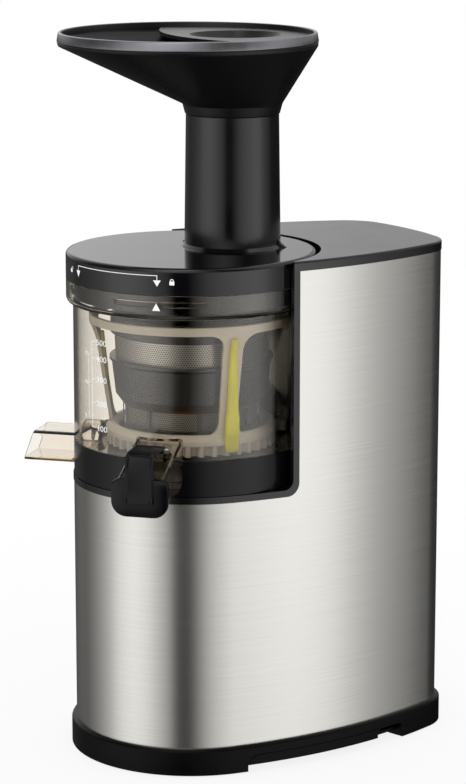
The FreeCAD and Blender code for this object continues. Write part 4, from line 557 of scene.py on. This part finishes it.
def blade(turn, heights, reaches, half_widths, half_depths, lean=0.0, rows=60, columns=33):
    """A soft blade standing along a post. Reach, half width and half depth follow its height; the
    section is a rounded box (cosine and sine raised to a small power), closed at both ends."""
    share = (1 - np.cos(np.linspace(0, np.pi, rows))) / 2
    z = heights[0] + (heights[-1] - heights[0]) * share
    around = np.linspace(0, 2 * np.pi, columns)
    ends = np.clip(np.minimum(z - z[0], z[-1] - z), 0, 0.8) / 0.8
    ends = np.sqrt(1 - (1 - ends) ** 2)
    reach = np.interp(z, heights, reaches)[:, None]
    wide = (np.interp(z, heights, half_widths) * ends)[:, None]
    deep = (np.interp(z, heights, half_depths) * ends)[:, None]
    out = reach + deep * np.sign(np.cos(around)) * np.abs(np.cos(around)) ** 0.5
    across = wide * np.sign(np.sin(around)) * np.abs(np.sin(around)) ** 0.5 + lean * (0.5 - share)[:, None]
    c, s = math.cos(turn), math.sin(turn)
    grid = np.dstack([out * c - across * s, out * s + across * c, z[:, None] + 0 * around])
    return grid, np.dstack([around * 4 + 0 * wide, z[:, None] + 0 * around])


def silicone_blades():
    """The outer blade that sweeps the bowl, broad near its foot, and the plain inner ones."""
    patches = [blade(math.radians(FIRST_POST), (192.2, 199, 203.5, 214, 217, 252, 262.3),
                     (52.8, 52.8, 53.7, 54.9, 55.3, 59.7, 62.9), (4.2, 4.4, 4.5, 4.3, 3.6, 2.0, 1.9),
                     (0.75, 0.75, 1.7, 1.8, 1.8, 1.8, 1.2), 3.0)]
    for turn in (FIRST_POST + 120, FIRST_POST + 240):
        patches.append(blade(math.radians(turn), (213, 256), (49.9, 54.3), (2.4, 2.4), (1.2, 1.2)))
    surface("silicone_blades", patches, YELLOW, "wiper", ["wiper_blades"])


def framed(half, low, high, radius, steps=7, between=34):
    """A closed loop round a box in (along, height): rounded corners joined by straight runs, with the
    same count of points whatever the radius, so that two such loops can be joined row by row."""
    corners = [(-half, low), (half, low), (half, high), (-half, high)]
    arcs = rounded(corners, [radius] * 4, steps).reshape(4, steps, 2)
    on = np.roll(arcs[:, 0], -1, 0) - arcs[:, -1]
    share = np.linspace(0, 1, between)[1:-1]
    runs = arcs[:, -1, None] + on[:, None] * share[None, :, None]
    return closed(np.concatenate([arcs, runs], 1).reshape(-1, 2))


def wiper_cage():
    """The turning cage: each third is the strip between a box and a round-cornered window, laid on the
    cone outside and again a wall's thickness inside. A rim, a flange and a toothed ring close it. The
    teeth are a clipped cosine of the turn."""
    mid_r = 54.0
    third = math.radians(60) * mid_r
    box = framed(third, 199.0, 268.6, 1e-5)
    hole = framed(third - POST_HALF, 202.4, 264.2, 8.0)
    share = np.linspace(0, 1, 9)[:, None, None]
    strip = box + (hole - box) * share
    strip = np.concatenate([strip, strip[::-1]])
    deep = np.repeat([0.0, CAGE_T], 9)[:, None]
    patches = []
    for k in range(3):
        turn = math.radians(FIRST_POST + 60 + 120 * k) + strip[..., 0] / mid_r
        radius = np.interp(strip[..., 1], CAGE_Z, CAGE_R) - deep
        grid = np.dstack([radius * np.cos(turn), radius * np.sin(turn), strip[..., 1]])
        patches.append((grid, strip))
    rim = closed(rounded([(61.5, 266.8), (61.5, 269.4), (59.1, 269.4), (59.1, 266.8)], [0.4, 0.6, 0.6, 0.4]))
    flange = closed(rounded([(51.8, 196.4), (51.8, 199.4), (49.5, 202.8), (47.1, 202.8), (43.6, 199.4),
                             (43.6, 196.4)], [0.3, 0.8, 0.6, 0.5, 0.5, 0.3]))
    patches += [turned(rim, 0.0, 181), turned(flange, 0.0, 181)]
    turn = np.linspace(0, 2 * np.pi, TEETH * 12 + 1)[None, :]
    tip = 48.9 + 2.2 * np.clip(-1.7 * np.cos(TEETH * turn), -1, 1)
    bore = 43.6 + 0 * turn
    radius = np.vstack([bore, bore, tip, tip, bore])
    z = np.array([196.6, 190.0, 190.0, 196.6, 196.6])[:, None] + 0 * turn
    teeth = np.dstack([radius * np.cos(turn), radius * np.sin(turn), z])
    patches.append((teeth, np.dstack([turn * 49 + 0 * z, z])))
    surface("wiper_cage", patches, BEIGE, "wiper", ["wiper_frame"])


# Juice cap, built along +X and turned to its own direction

def smooth_line(points, passes=4):
    """Corner cutting: each pass puts two points a quarter in from the ends of every leg."""
    line = np.asarray(points, float)
    for _ in range(passes):
        ahead = line[1:]
        cut = np.stack([0.75 * line[:-1] + 0.25 * ahead, 0.25 * line[:-1] + 0.75 * ahead], 1).reshape(-1, 2)
        line = np.vstack([line[:1], cut, line[-1:]])
    return line


CAP_TURN = -135.0
HINGE_REACH = 86.0
HINGE_Z = 202.2


def pointed(grid):
    """Turns a grid built along +X to the spout's own direction."""
    c, s = math.cos(math.radians(CAP_TURN)), math.sin(math.radians(CAP_TURN))
    x, y, z = grid[..., 0], grid[..., 1], grid[..., 2]
    return np.dstack([x * c - y * s, x * s + y * c, z])


def flip_cap():
    """A crowned pad over the spout's mouth, a strap whose two sides stand slightly proud, and the barrel
    on the hinge pin. The strap is its cross-section carried along a smoothed line of (reach, height);
    the pad is one outline shrunk towards its middle as it rises to its face."""
    line = smooth_line([(HINGE_REACH, 204.1), (95.0, 204.1), (101.5, 204.1), (106.2, 203.2), (108.6, 198.6),
                        (109.7, 190.0), (110.2, 184.0), (110.7, 180.0), (111.1, 177.6), (111.5, 176.2)])
    way = np.gradient(line, axis=0)
    way /= np.hypot(*way.T)[:, None]
    outward = np.stack([-way[:, 1], way[:, 0]], -1)
    section = closed(rounded([(-8.5, -1.35), (8.5, -1.35), (8.5, 0.55), (7.2, 0.55), (6.5, 0.0),
                              (-6.5, 0.0), (-7.2, 0.55), (-8.5, 0.55)],
                             [0.4, 0.4, 0.35, 0.3, 0.4, 0.4, 0.3, 0.35], 4))
    ends = np.r_[0.0, np.ones(len(line)), 0.0][:, None]
    rows = np.r_[0, np.arange(len(line)), len(line) - 1]
    across = section[None, :, 0] * ends
    proud = section[None, :, 1] * ends - 0.4 * (1 - ends)
    reach = line[rows, :1] + outward[rows, :1] * proud
    height = line[rows, 1:] + outward[rows, 1:] * proud
    strap = np.dstack([reach, across, height])[:, ::-1]
    turn = np.linspace(0, 2 * np.pi, 33)[None, :]
    shape = np.array([(1.3, -8.5), (1.3, 8.5), (2.1, 8.5), (2.3, 8.2), (2.3, -8.2), (2.1, -8.5), (1.3, -8.5)])
    barrel = np.dstack([HINGE_REACH + shape[:, :1] * np.cos(turn), shape[:, 1:] + 0 * turn,
                        HINGE_Z + shape[:, :1] * np.sin(turn)])
    outline = closed(rounded([(-17, 167.4), (17, 167.4), (17, 190.0), (-17, 190.0)], [9.0, 9.0, 5.5, 5.5], 9))
    middle = np.array([0.0, 178.7])
    steps = [(0.0, 106.4), (1.0, 106.4), (1.0, 108.6), (0.975, 109.3), (0.93, 109.55), (0.5, 109.75),
             (0.0, 109.8)]
    pad = np.stack([np.column_stack([np.full(len(outline), reach), *(middle + (outline - middle) * size).T])
                    for size, reach in steps])
    patches = [(pointed(part), part[..., 1:] * 1.0) for part in (strap, barrel, pad)]
    surface("flip_cap", patches, CAP_BLACK, "cap", ["juice_cap"])


# Printed marks

LID_PRINT_R = 75.06
BOWL_PRINT_R = 70.96
COLLAR_PRINT_R = 75.06
INK = 0.04
NUMBER_SIZE = 1.35
NUMBER_STRETCH = 1.3


def print_on(name, shapes, radius, body):
    """Flat marks wrapped on an upright wall: x along the wall becomes the turn x / radius, y becomes
    the height. A shape is a pair of edge lines, and the mark fills the strip between them."""
    patches = []
    for low, high in shapes:
        low, high = np.asarray(low, float), np.asarray(high, float)
        flat = low[None] + (high - low)[None] * np.linspace(0, 1, 2)[:, None, None]
        turn = flat[..., 0] / radius
        grid = np.dstack([radius * np.cos(turn), radius * np.sin(turn), flat[..., 1]])
        patches.append((grid, flat))
    piece = surface(name, patches, PRINT, body)
    skin = piece.modifiers.new("ink", "SOLIDIFY")
    skin.thickness = INK * MM
    skin.offset = 1


def bar(x0, x1, y0, y1, pieces=12):
    """A straight mark between two corners."""
    x = np.linspace(x0, x1, pieces)
    return np.stack([x, np.full(pieces, y0)], -1), np.stack([x, np.full(pieces, y1)], -1)


def arrow(x, tip, base, half):
    """A triangle whose point is at height tip."""
    wide = np.array([(x - half, base), (x + half, base)])
    point = np.array([(x, tip), (x, tip)])
    return (point, wide) if tip < base else (wide, point)


def hoop(x, y, inner, outer, start, end):
    """Part of a flat ring, between two turns in degrees."""
    turn = np.radians(np.linspace(end, start, 14))
    ring = np.stack([np.cos(turn), np.sin(turn)], -1)
    return np.array([x, y]) + inner * ring, np.array([x, y]) + outer * ring


def padlock(x, y, opened):
    """A small lock: a filled body and a hoop, which stands open to one side when unlocked."""
    side = x + (1.5 if opened else 0.0)
    legs = [bar(side + near, side + far, y + 2.1, y + 2.6) for near, far in ((-1.1, -0.65), (0.65, 1.1))]
    return [bar(x - 1.4, x + 1.4, y, y + 2.2), hoop(side, y + 2.5, 0.65, 1.1, 0, 180)] + legs


def lid_marks():
    """The travel line from open to closed, its two arrows, and a lock sign beside each."""
    def at(degrees):
        return math.radians(degrees) * LID_PRINT_R

    closed_x, open_x = at(-134.2), at(-180.6)
    shapes = [bar(open_x, closed_x, 301.8, 302.2, 60), bar(closed_x - 0.2, closed_x + 0.2, 299.2, 302.2, 2),
              bar(open_x - 0.2, open_x + 0.2, 299.2, 302.2, 2), arrow(closed_x, 295.7, 299.3, 2.3),
              arrow(open_x, 295.2, 299.2, 2.2)]
    shapes += padlock(at(-127.5), 296.7, False) + padlock(at(-188.5), 296.7, True)
    print_on("lid_marks", shapes, LID_PRINT_R, "lid_unit")
    collar_x = math.radians(-134.6) * COLLAR_PRINT_R
    print_on("bowl_arrow", [arrow(collar_x, 285.9, 281.5, 2.4)], COLLAR_PRINT_R, "bowl_unit")


def bowl_scale():
    """Two upright scales: one of five numbered steps with half steps, and one of three."""
    def at(degrees):
        return math.radians(degrees) * BOWL_PRINT_R

    x = at(-174.4)
    heights = [206.5, 221.4, 235.8, 248.2, 257.9]
    shapes = [bar(x - 0.2, x + 0.2, heights[0] - 0.2, heights[-1] + 0.2, 2)]
    shapes += [bar(x, at(-171.7), z - 0.18, z + 0.18, 3) for z in heights]
    shapes += [bar(x, at(-172.8), (a + b) / 2 - 0.15, (a + b) / 2 + 0.15, 3)
               for a, b in zip(heights, heights[1:])]
    other = at(-177.5)
    marks = [212.2, 232.6, 250.0]
    shapes += [bar(other - 0.15, other + 0.15, marks[0], marks[-1], 2)]
    shapes += [bar(other, at(-176.2), z - 0.15, z + 0.15, 3) for z in marks]
    print_on("bowl_scale", shapes, BOWL_PRINT_R, "bowl_unit")
    labels = [(str(100 * (k + 1)), -170.9, z, 3.6) for k, z in enumerate(heights)]
    labels += [(str(5 * (k + 1)), -181.5, z, 2.4) for k, z in enumerate(marks)]
    for k, (text, degrees, z, size) in enumerate(labels):
        digits("scale_number_%d" % k, text, degrees, z, size)


def digits(name, text, degrees, z, size):
    """Numbers wrapped on the bowl's wall, made a mesh before they are placed."""
    curve = bpy.data.curves.new(name, "FONT")
    curve.body = text
    curve.size = size * MM * NUMBER_SIZE
    curve.extrude = 0.02 * MM
    curve.resolution_u = 3
    holder = bpy.data.objects.new(name, curve)
    bpy.context.scene.collection.objects.link(holder)
    mesh = bpy.data.meshes.new_from_object(holder.evaluated_get(bpy.context.evaluated_depsgraph_get()))
    bpy.data.objects.remove(holder)
    flat = np.empty(len(mesh.vertices) * 3)
    mesh.vertices.foreach_get("co", flat)
    flat = flat.reshape(-1, 3) / MM
    turn = math.radians(degrees) + NUMBER_STRETCH * flat[:, 0] / BOWL_PRINT_R
    radius = BOWL_PRINT_R + 0.02 + flat[:, 2]
    place = np.stack([radius * np.cos(turn), radius * np.sin(turn), z + flat[:, 1] - size * 0.45], -1)
    mesh.vertices.foreach_set("co", (place * MM).ravel())
    mesh.materials.clear()
    mesh.materials.append(PRINT)
    mesh.update()
    piece = bpy.data.objects.new(name, mesh)
    bpy.context.scene.collection.objects.link(piece)
    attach(piece, "bowl_unit")


FRONT_LAND_X = -3.0
REAR_LAND_X = 111.0
RECESS_LENGTH = 21.0
RECESS_Z = 10.6
RECESS_ROUND = 4.0
GROOVE_Z = 11.0
GROOVE_TURN = 7.0
GROOVE_START = 0.6
GROOVE_DEEP = 0.45
BASE_OUT = 3.0
BASE_ROUND = 1.5


def along_body(section, way, place, out, ends=False):
    """Carries rows of (offset from the sheet, height) along the body's outline. With ends, both ends
    are closed by drawing every row to the section's middle."""
    offset, z = section
    x, y = (place[:, axis] + offset * out[:, axis] for axis in (0, 1))
    grid = np.dstack([x, y, z + 0 * offset + 0 * way])
    uv = np.dstack([way + 0 * offset, z + offset + 0 * way])
    if ends:
        caps = [np.repeat(grid[:-1, k:k + 1].mean(0, keepdims=True), len(grid), 0) for k in (0, -1)]
        grid = np.concatenate([caps[0], grid, caps[1]], 1)
        uv = np.concatenate([uv[:, :1], uv, uv[:, -1:]], 1)
    return grid, uv


def base_wall():
    """The black base with its lands and rubber strips: closed sections carried round the outline. The
    wall's foot is raised between the lands, with a round-cornered recess before the rear one, and a
    shallow groove rises from the front land in a quarter circle and runs on level."""
    line, way = shell_outline(6001)
    total = way[-1]
    step = np.gradient(line, way, axis=0)
    step[0] = step[-1] = (step[0] + step[-1]) / 2
    step /= np.hypot(*step.T)[:, None]
    half = len(way) // 2
    turn = np.linspace(0, np.pi / 2, 9)
    recess_x = REAR_LAND_X - RECESS_LENGTH
    corner = RECESS_ROUND * (1 - np.cos(turn))
    groove_x = FRONT_LAND_X + GROOVE_START
    special = np.r_[FRONT_LAND_X - 0.01, FRONT_LAND_X + 0.01, groove_x + GROOVE_TURN * (1 - np.cos(turn)),
                    recess_x - 0.01, recess_x + 0.01 + corner, REAR_LAND_X - 0.01 - corner,
                    REAR_LAND_X + 0.01]

    def at(x):
        return np.interp(x, line[:half, 0], way[:half])

    def sample(s):
        s = np.mod(s, total)
        spot = np.stack([np.interp(s, way, line[:, k]) for k in (0, 1)], -1)
        slope = np.stack([np.interp(s, way, step[:, k]) for k in (0, 1)], -1)
        return spot, np.stack([slope[:, 1], -slope[:, 0]], -1)

    s = np.unique(np.r_[np.linspace(0, total, 481), at(special), total - at(special)])
    s[-1] = total
    spot, out = sample(s)
    spot[-1], out[-1] = spot[0], out[0]
    x = spot[:, 0]
    foot = np.where((x < FRONT_LAND_X) | (x > REAR_LAND_X), 1.0, 5.0)
    inside = np.clip(np.minimum(x - recess_x, REAR_LAND_X - x), 0, RECESS_ROUND)
    arch = RECESS_Z - RECESS_ROUND + np.sqrt(RECESS_ROUND ** 2 - (RECESS_ROUND - inside) ** 2)
    foot = np.where((x > recess_x) & (x < REAR_LAND_X), arch, foot)
    rise = np.clip(x - groove_x, 0, GROOVE_TURN)
    groove = GROOVE_Z - GROOVE_TURN + np.sqrt(GROOVE_TURN ** 2 - (GROOVE_TURN - rise) ** 2)
    groove = np.maximum(groove, foot + 0.5)
    deep = np.where((x > FRONT_LAND_X + 0.5) & (x < recess_x), GROOVE_DEEP, 0.0)

    def row(offset, z):
        return offset + 0 * x, z + 0 * x

    rows = [row(-1, foot), row(BASE_OUT, foot), row(BASE_OUT, groove - 0.35),
            row(BASE_OUT - deep, groove - 0.3), row(BASE_OUT - deep, groove + 0.3),
            row(BASE_OUT, groove + 0.35)]
    rows += [row(BASE_OUT - BASE_ROUND * (1 - math.cos(a)), SHELL_Z - BASE_ROUND * (1 - math.sin(a)))
             for a in np.linspace(0, np.pi / 2, 6)]
    rows += [row(-8.8, SHELL_Z), row(-8.8, 13.3), row(-1, 13.3), row(-1, foot)]
    wall = along_body(np.array(rows).swapaxes(0, 1), s, spot, out)

    def strip(inner, outer, low, high, front, rear):
        offset = np.array([inner, outer, outer, inner, inner])[:, None]
        height = np.array([low, low, high, high, low])[:, None]
        spans = [np.linspace(-at(front), at(front), 161), np.linspace(at(rear), total - at(rear), 161)]
        return [along_body((offset, height), span, *sample(span), ends=True) for span in spans]

    lands = strip(-13.0, -1.0, 1.0, 5.0, FRONT_LAND_X, REAR_LAND_X)
    surface("base_wall", [wall] + lands, SATIN, "body", ["base_skirt"])
    feet = strip(-10.0, -2.0, 0.0, 1.0, FRONT_LAND_X - 2, REAR_LAND_X + 2)
    surface("foot_strips", feet, FEET, "body", ["rubber_feet"])


steel_wrap()
base_wall()
hopper_shell()
strainer_sheet()
silicone_blades()
wiper_cage()
flip_cap()
lid_marks()
bowl_scale()


# Stage, light and camera

# Compass direction in degrees, and how bright the studio is there.
PANELS = [(-180, 1.46), (-172, 1.40), (-162, 1.20), (-152, 0.84), (-142, 0.50), (-134, 0.0), (-122, 0.0),
          (-114, 0.28), (-104, 0.72), (-94, 1.02), (-84, 1.22), (-71, 1.46), (-60, 1.56), (-50, 1.38),
          (-44, 1.02), (-37, 0.68), (-30, 0.48), (-22, 0.33), (-14, 0.08), (5, 0.03), (30, 0.02), (61, 0.03),
          (85, 0.10), (100, 0.15), (116, 0.15), (134, 0.34), (151, 0.68), (165, 1.22), (180, 1.46)]
UPPER_PANELS = [(-180, 0.42), (-160, 0.9), (-142, 1.2), (-125, 0.95), (-108, 0.45), (-90, 0.12), (-72, 0.12),
                (-52, 0.4), (-30, 0.7), (-2, 0.45), (30, 0.4), (57, 0.58), (61, 0.75), (65, 0.9), (80, 0.8),
                (133, 0.1), (159, 0.1), (180, 0.42)]
# Height of the direction (its Z), and how much of that brightness it keeps.
PANEL_HEIGHT = [(-1, 0.12), (-0.7, 0.2), (-0.5, 0.45), (-0.36, 0.78), (-0.25, 1.0), (-0.2, 1.1), (0.3, 1.1),
                (0.7, 1.6), (1, 2.0)]
DIFFUSE_LEVEL = 1.0


def studio_world():
    """White for what the camera sees directly or through clear plastic, a plain level for diffuse
    light, and for reflections a ring of bright panels and dark gaps by compass direction."""
    world = bpy.data.worlds.new("studio")
    bpy.context.scene.world = world
    world.use_nodes = True
    w = Wiring(world.node_tree)
    w.tree.nodes.clear()
    heading = w.split(w.add("ShaderNodeTexCoord").outputs["Generated"])
    around = w.math("ARCTAN2", heading["Y"], heading["X"])
    share = w.math("ADD", w.math("DIVIDE", around, 2 * math.pi), 0.5)

    def curve(source, stops):
        """Brightness read along a ramp; the ramp holds half of it, since its colours end at one."""
        node = w.add("ShaderNodeValToRGB")
        elements = node.color_ramp.elements
        while len(elements) < len(stops):
            elements.new(0.5)
        for element, (position, level) in zip(elements, stops):
            element.position = position
            element.color = (level / 2,) * 3 + (1.0,)
        w.link(source, node.inputs[0])
        return w.math("MULTIPLY", node.outputs["Color"], 2.0)

    low, high = [curve(share, [((turn + 180) / 360, level) for turn, level in ring])
                 for ring in (PANELS, UPPER_PANELS)]
    rise = w.math("ADD", w.math("MULTIPLY", heading["Z"], 8.0), 0.4, clamp=True)
    lower = w.math("MULTIPLY", low, w.math("SUBTRACT", 1.0, rise))
    panels = w.math("ADD", w.math("MULTIPLY", high, rise), lower)
    tall = curve(w.math("ADD", w.math("MULTIPLY", heading["Z"], 0.5), 0.5),
                 [((z + 1) / 2, level) for z, level in PANEL_HEIGHT])
    glow = w.math("MULTIPLY", panels, tall)
    path = w.add("ShaderNodeLightPath").outputs
    scattered = w.math("MINIMUM", path["Diffuse Depth"], 1.0)
    glossy = w.math("MINIMUM", path["Glossy Depth"], 1.0)
    seen = w.math("ADD", w.math("MULTIPLY", glossy, glow), w.math("SUBTRACT", 1.0, glossy))
    mixed = w.math("ADD", w.math("MULTIPLY", scattered, DIFFUSE_LEVEL),
                   w.math("MULTIPLY", w.math("SUBTRACT", 1.0, scattered), seen))
    background = w.add("ShaderNodeBackground", Color=(1, 1, 1, 1))
    w.link(mixed, background.inputs["Strength"])
    w.link(background.outputs[0], w.add("ShaderNodeOutputWorld").inputs["Surface"])


FLOOR_R = 1.2
FLOOR_WHITE = 0.85
FLOOR_FADE = (0.22, 0.60)


def floor():
    """A pale round floor that keeps the shadow and that reflections pass through: rings of growing
    radius about the object's middle. It fades to white away from the object."""
    rows = np.linspace(0, FLOOR_R, 30)[:, None]
    turn = np.linspace(0, 2 * np.pi, 65)[None, :]
    grid = np.dstack([0.04 + rows * np.cos(turn), rows * np.sin(turn), np.zeros_like(rows * turn)])
    mesh = bpy.data.meshes.new("floor")
    index = np.arange(grid.shape[0] * grid.shape[1]).reshape(grid.shape[:2])
    quads = np.stack([index[:-1, :-1], index[1:, :-1], index[1:, 1:], index[:-1, 1:]], -1).reshape(-1, 4)
    mesh.from_pydata(grid.reshape(-1, 3), [], quads)
    f = Finish("floor", (0.9, 0.9, 0.9), 0.9)
    f.set(Specular_IOR_Level=0.0)

    def mixed(share, first, second):
        node = f.add("ShaderNodeMixShader")
        for source, socket in zip((share, first, second), node.inputs):
            f.link(source, socket)
        return node.outputs[0]

    lit = f.shader.outputs[0]
    white = f.add("ShaderNodeEmission").outputs[0]
    clear = f.add("ShaderNodeBsdfTransparent").outputs[0]
    path = f.add("ShaderNodeLightPath").outputs
    far = f.add("ShaderNodeVectorMath", operation="LENGTH")
    f.link(f.place, far.inputs[0])
    fade = f.spread(far.outputs["Value"], FLOOR_WHITE, 1.0, *FLOOR_FADE)
    seen = f.math("MAXIMUM", path["Is Camera Ray"], path["Is Transmission Ray"])
    plain = mixed(seen, lit, mixed(fade, lit, white))
    through = mixed(path["Is Glossy Ray"], plain, clear)
    f.link(through, f.tree.nodes["Material Output"].inputs["Surface"])
    mesh.materials.append(f.material)
    piece = bpy.data.objects.new("floor", mesh)
    bpy.context.scene.collection.objects.link(piece)


CAMERA_PLACE = (-0.8090, -1.4594, 0.5699)
CAMERA_WAY = (0.4872, 0.8486, -0.2060)
CAMERA_LENS = 129.6


def camera():
    """The photograph's viewpoint."""
    data = bpy.data.cameras.new("camera")
    data.lens = CAMERA_LENS
    data.sensor_width = 36.0
    data.sensor_fit = "AUTO"
    data.clip_end = 20
    piece = bpy.data.objects.new("camera", data)
    piece.location = CAMERA_PLACE
    piece.rotation_euler = Vector(CAMERA_WAY).to_track_quat("-Z", "Y").to_euler()
    bpy.context.scene.collection.objects.link(piece)
    bpy.context.scene.camera = piece


studio_world()
floor()
camera()
bpy.context.scene.view_settings.view_transform = "Standard"
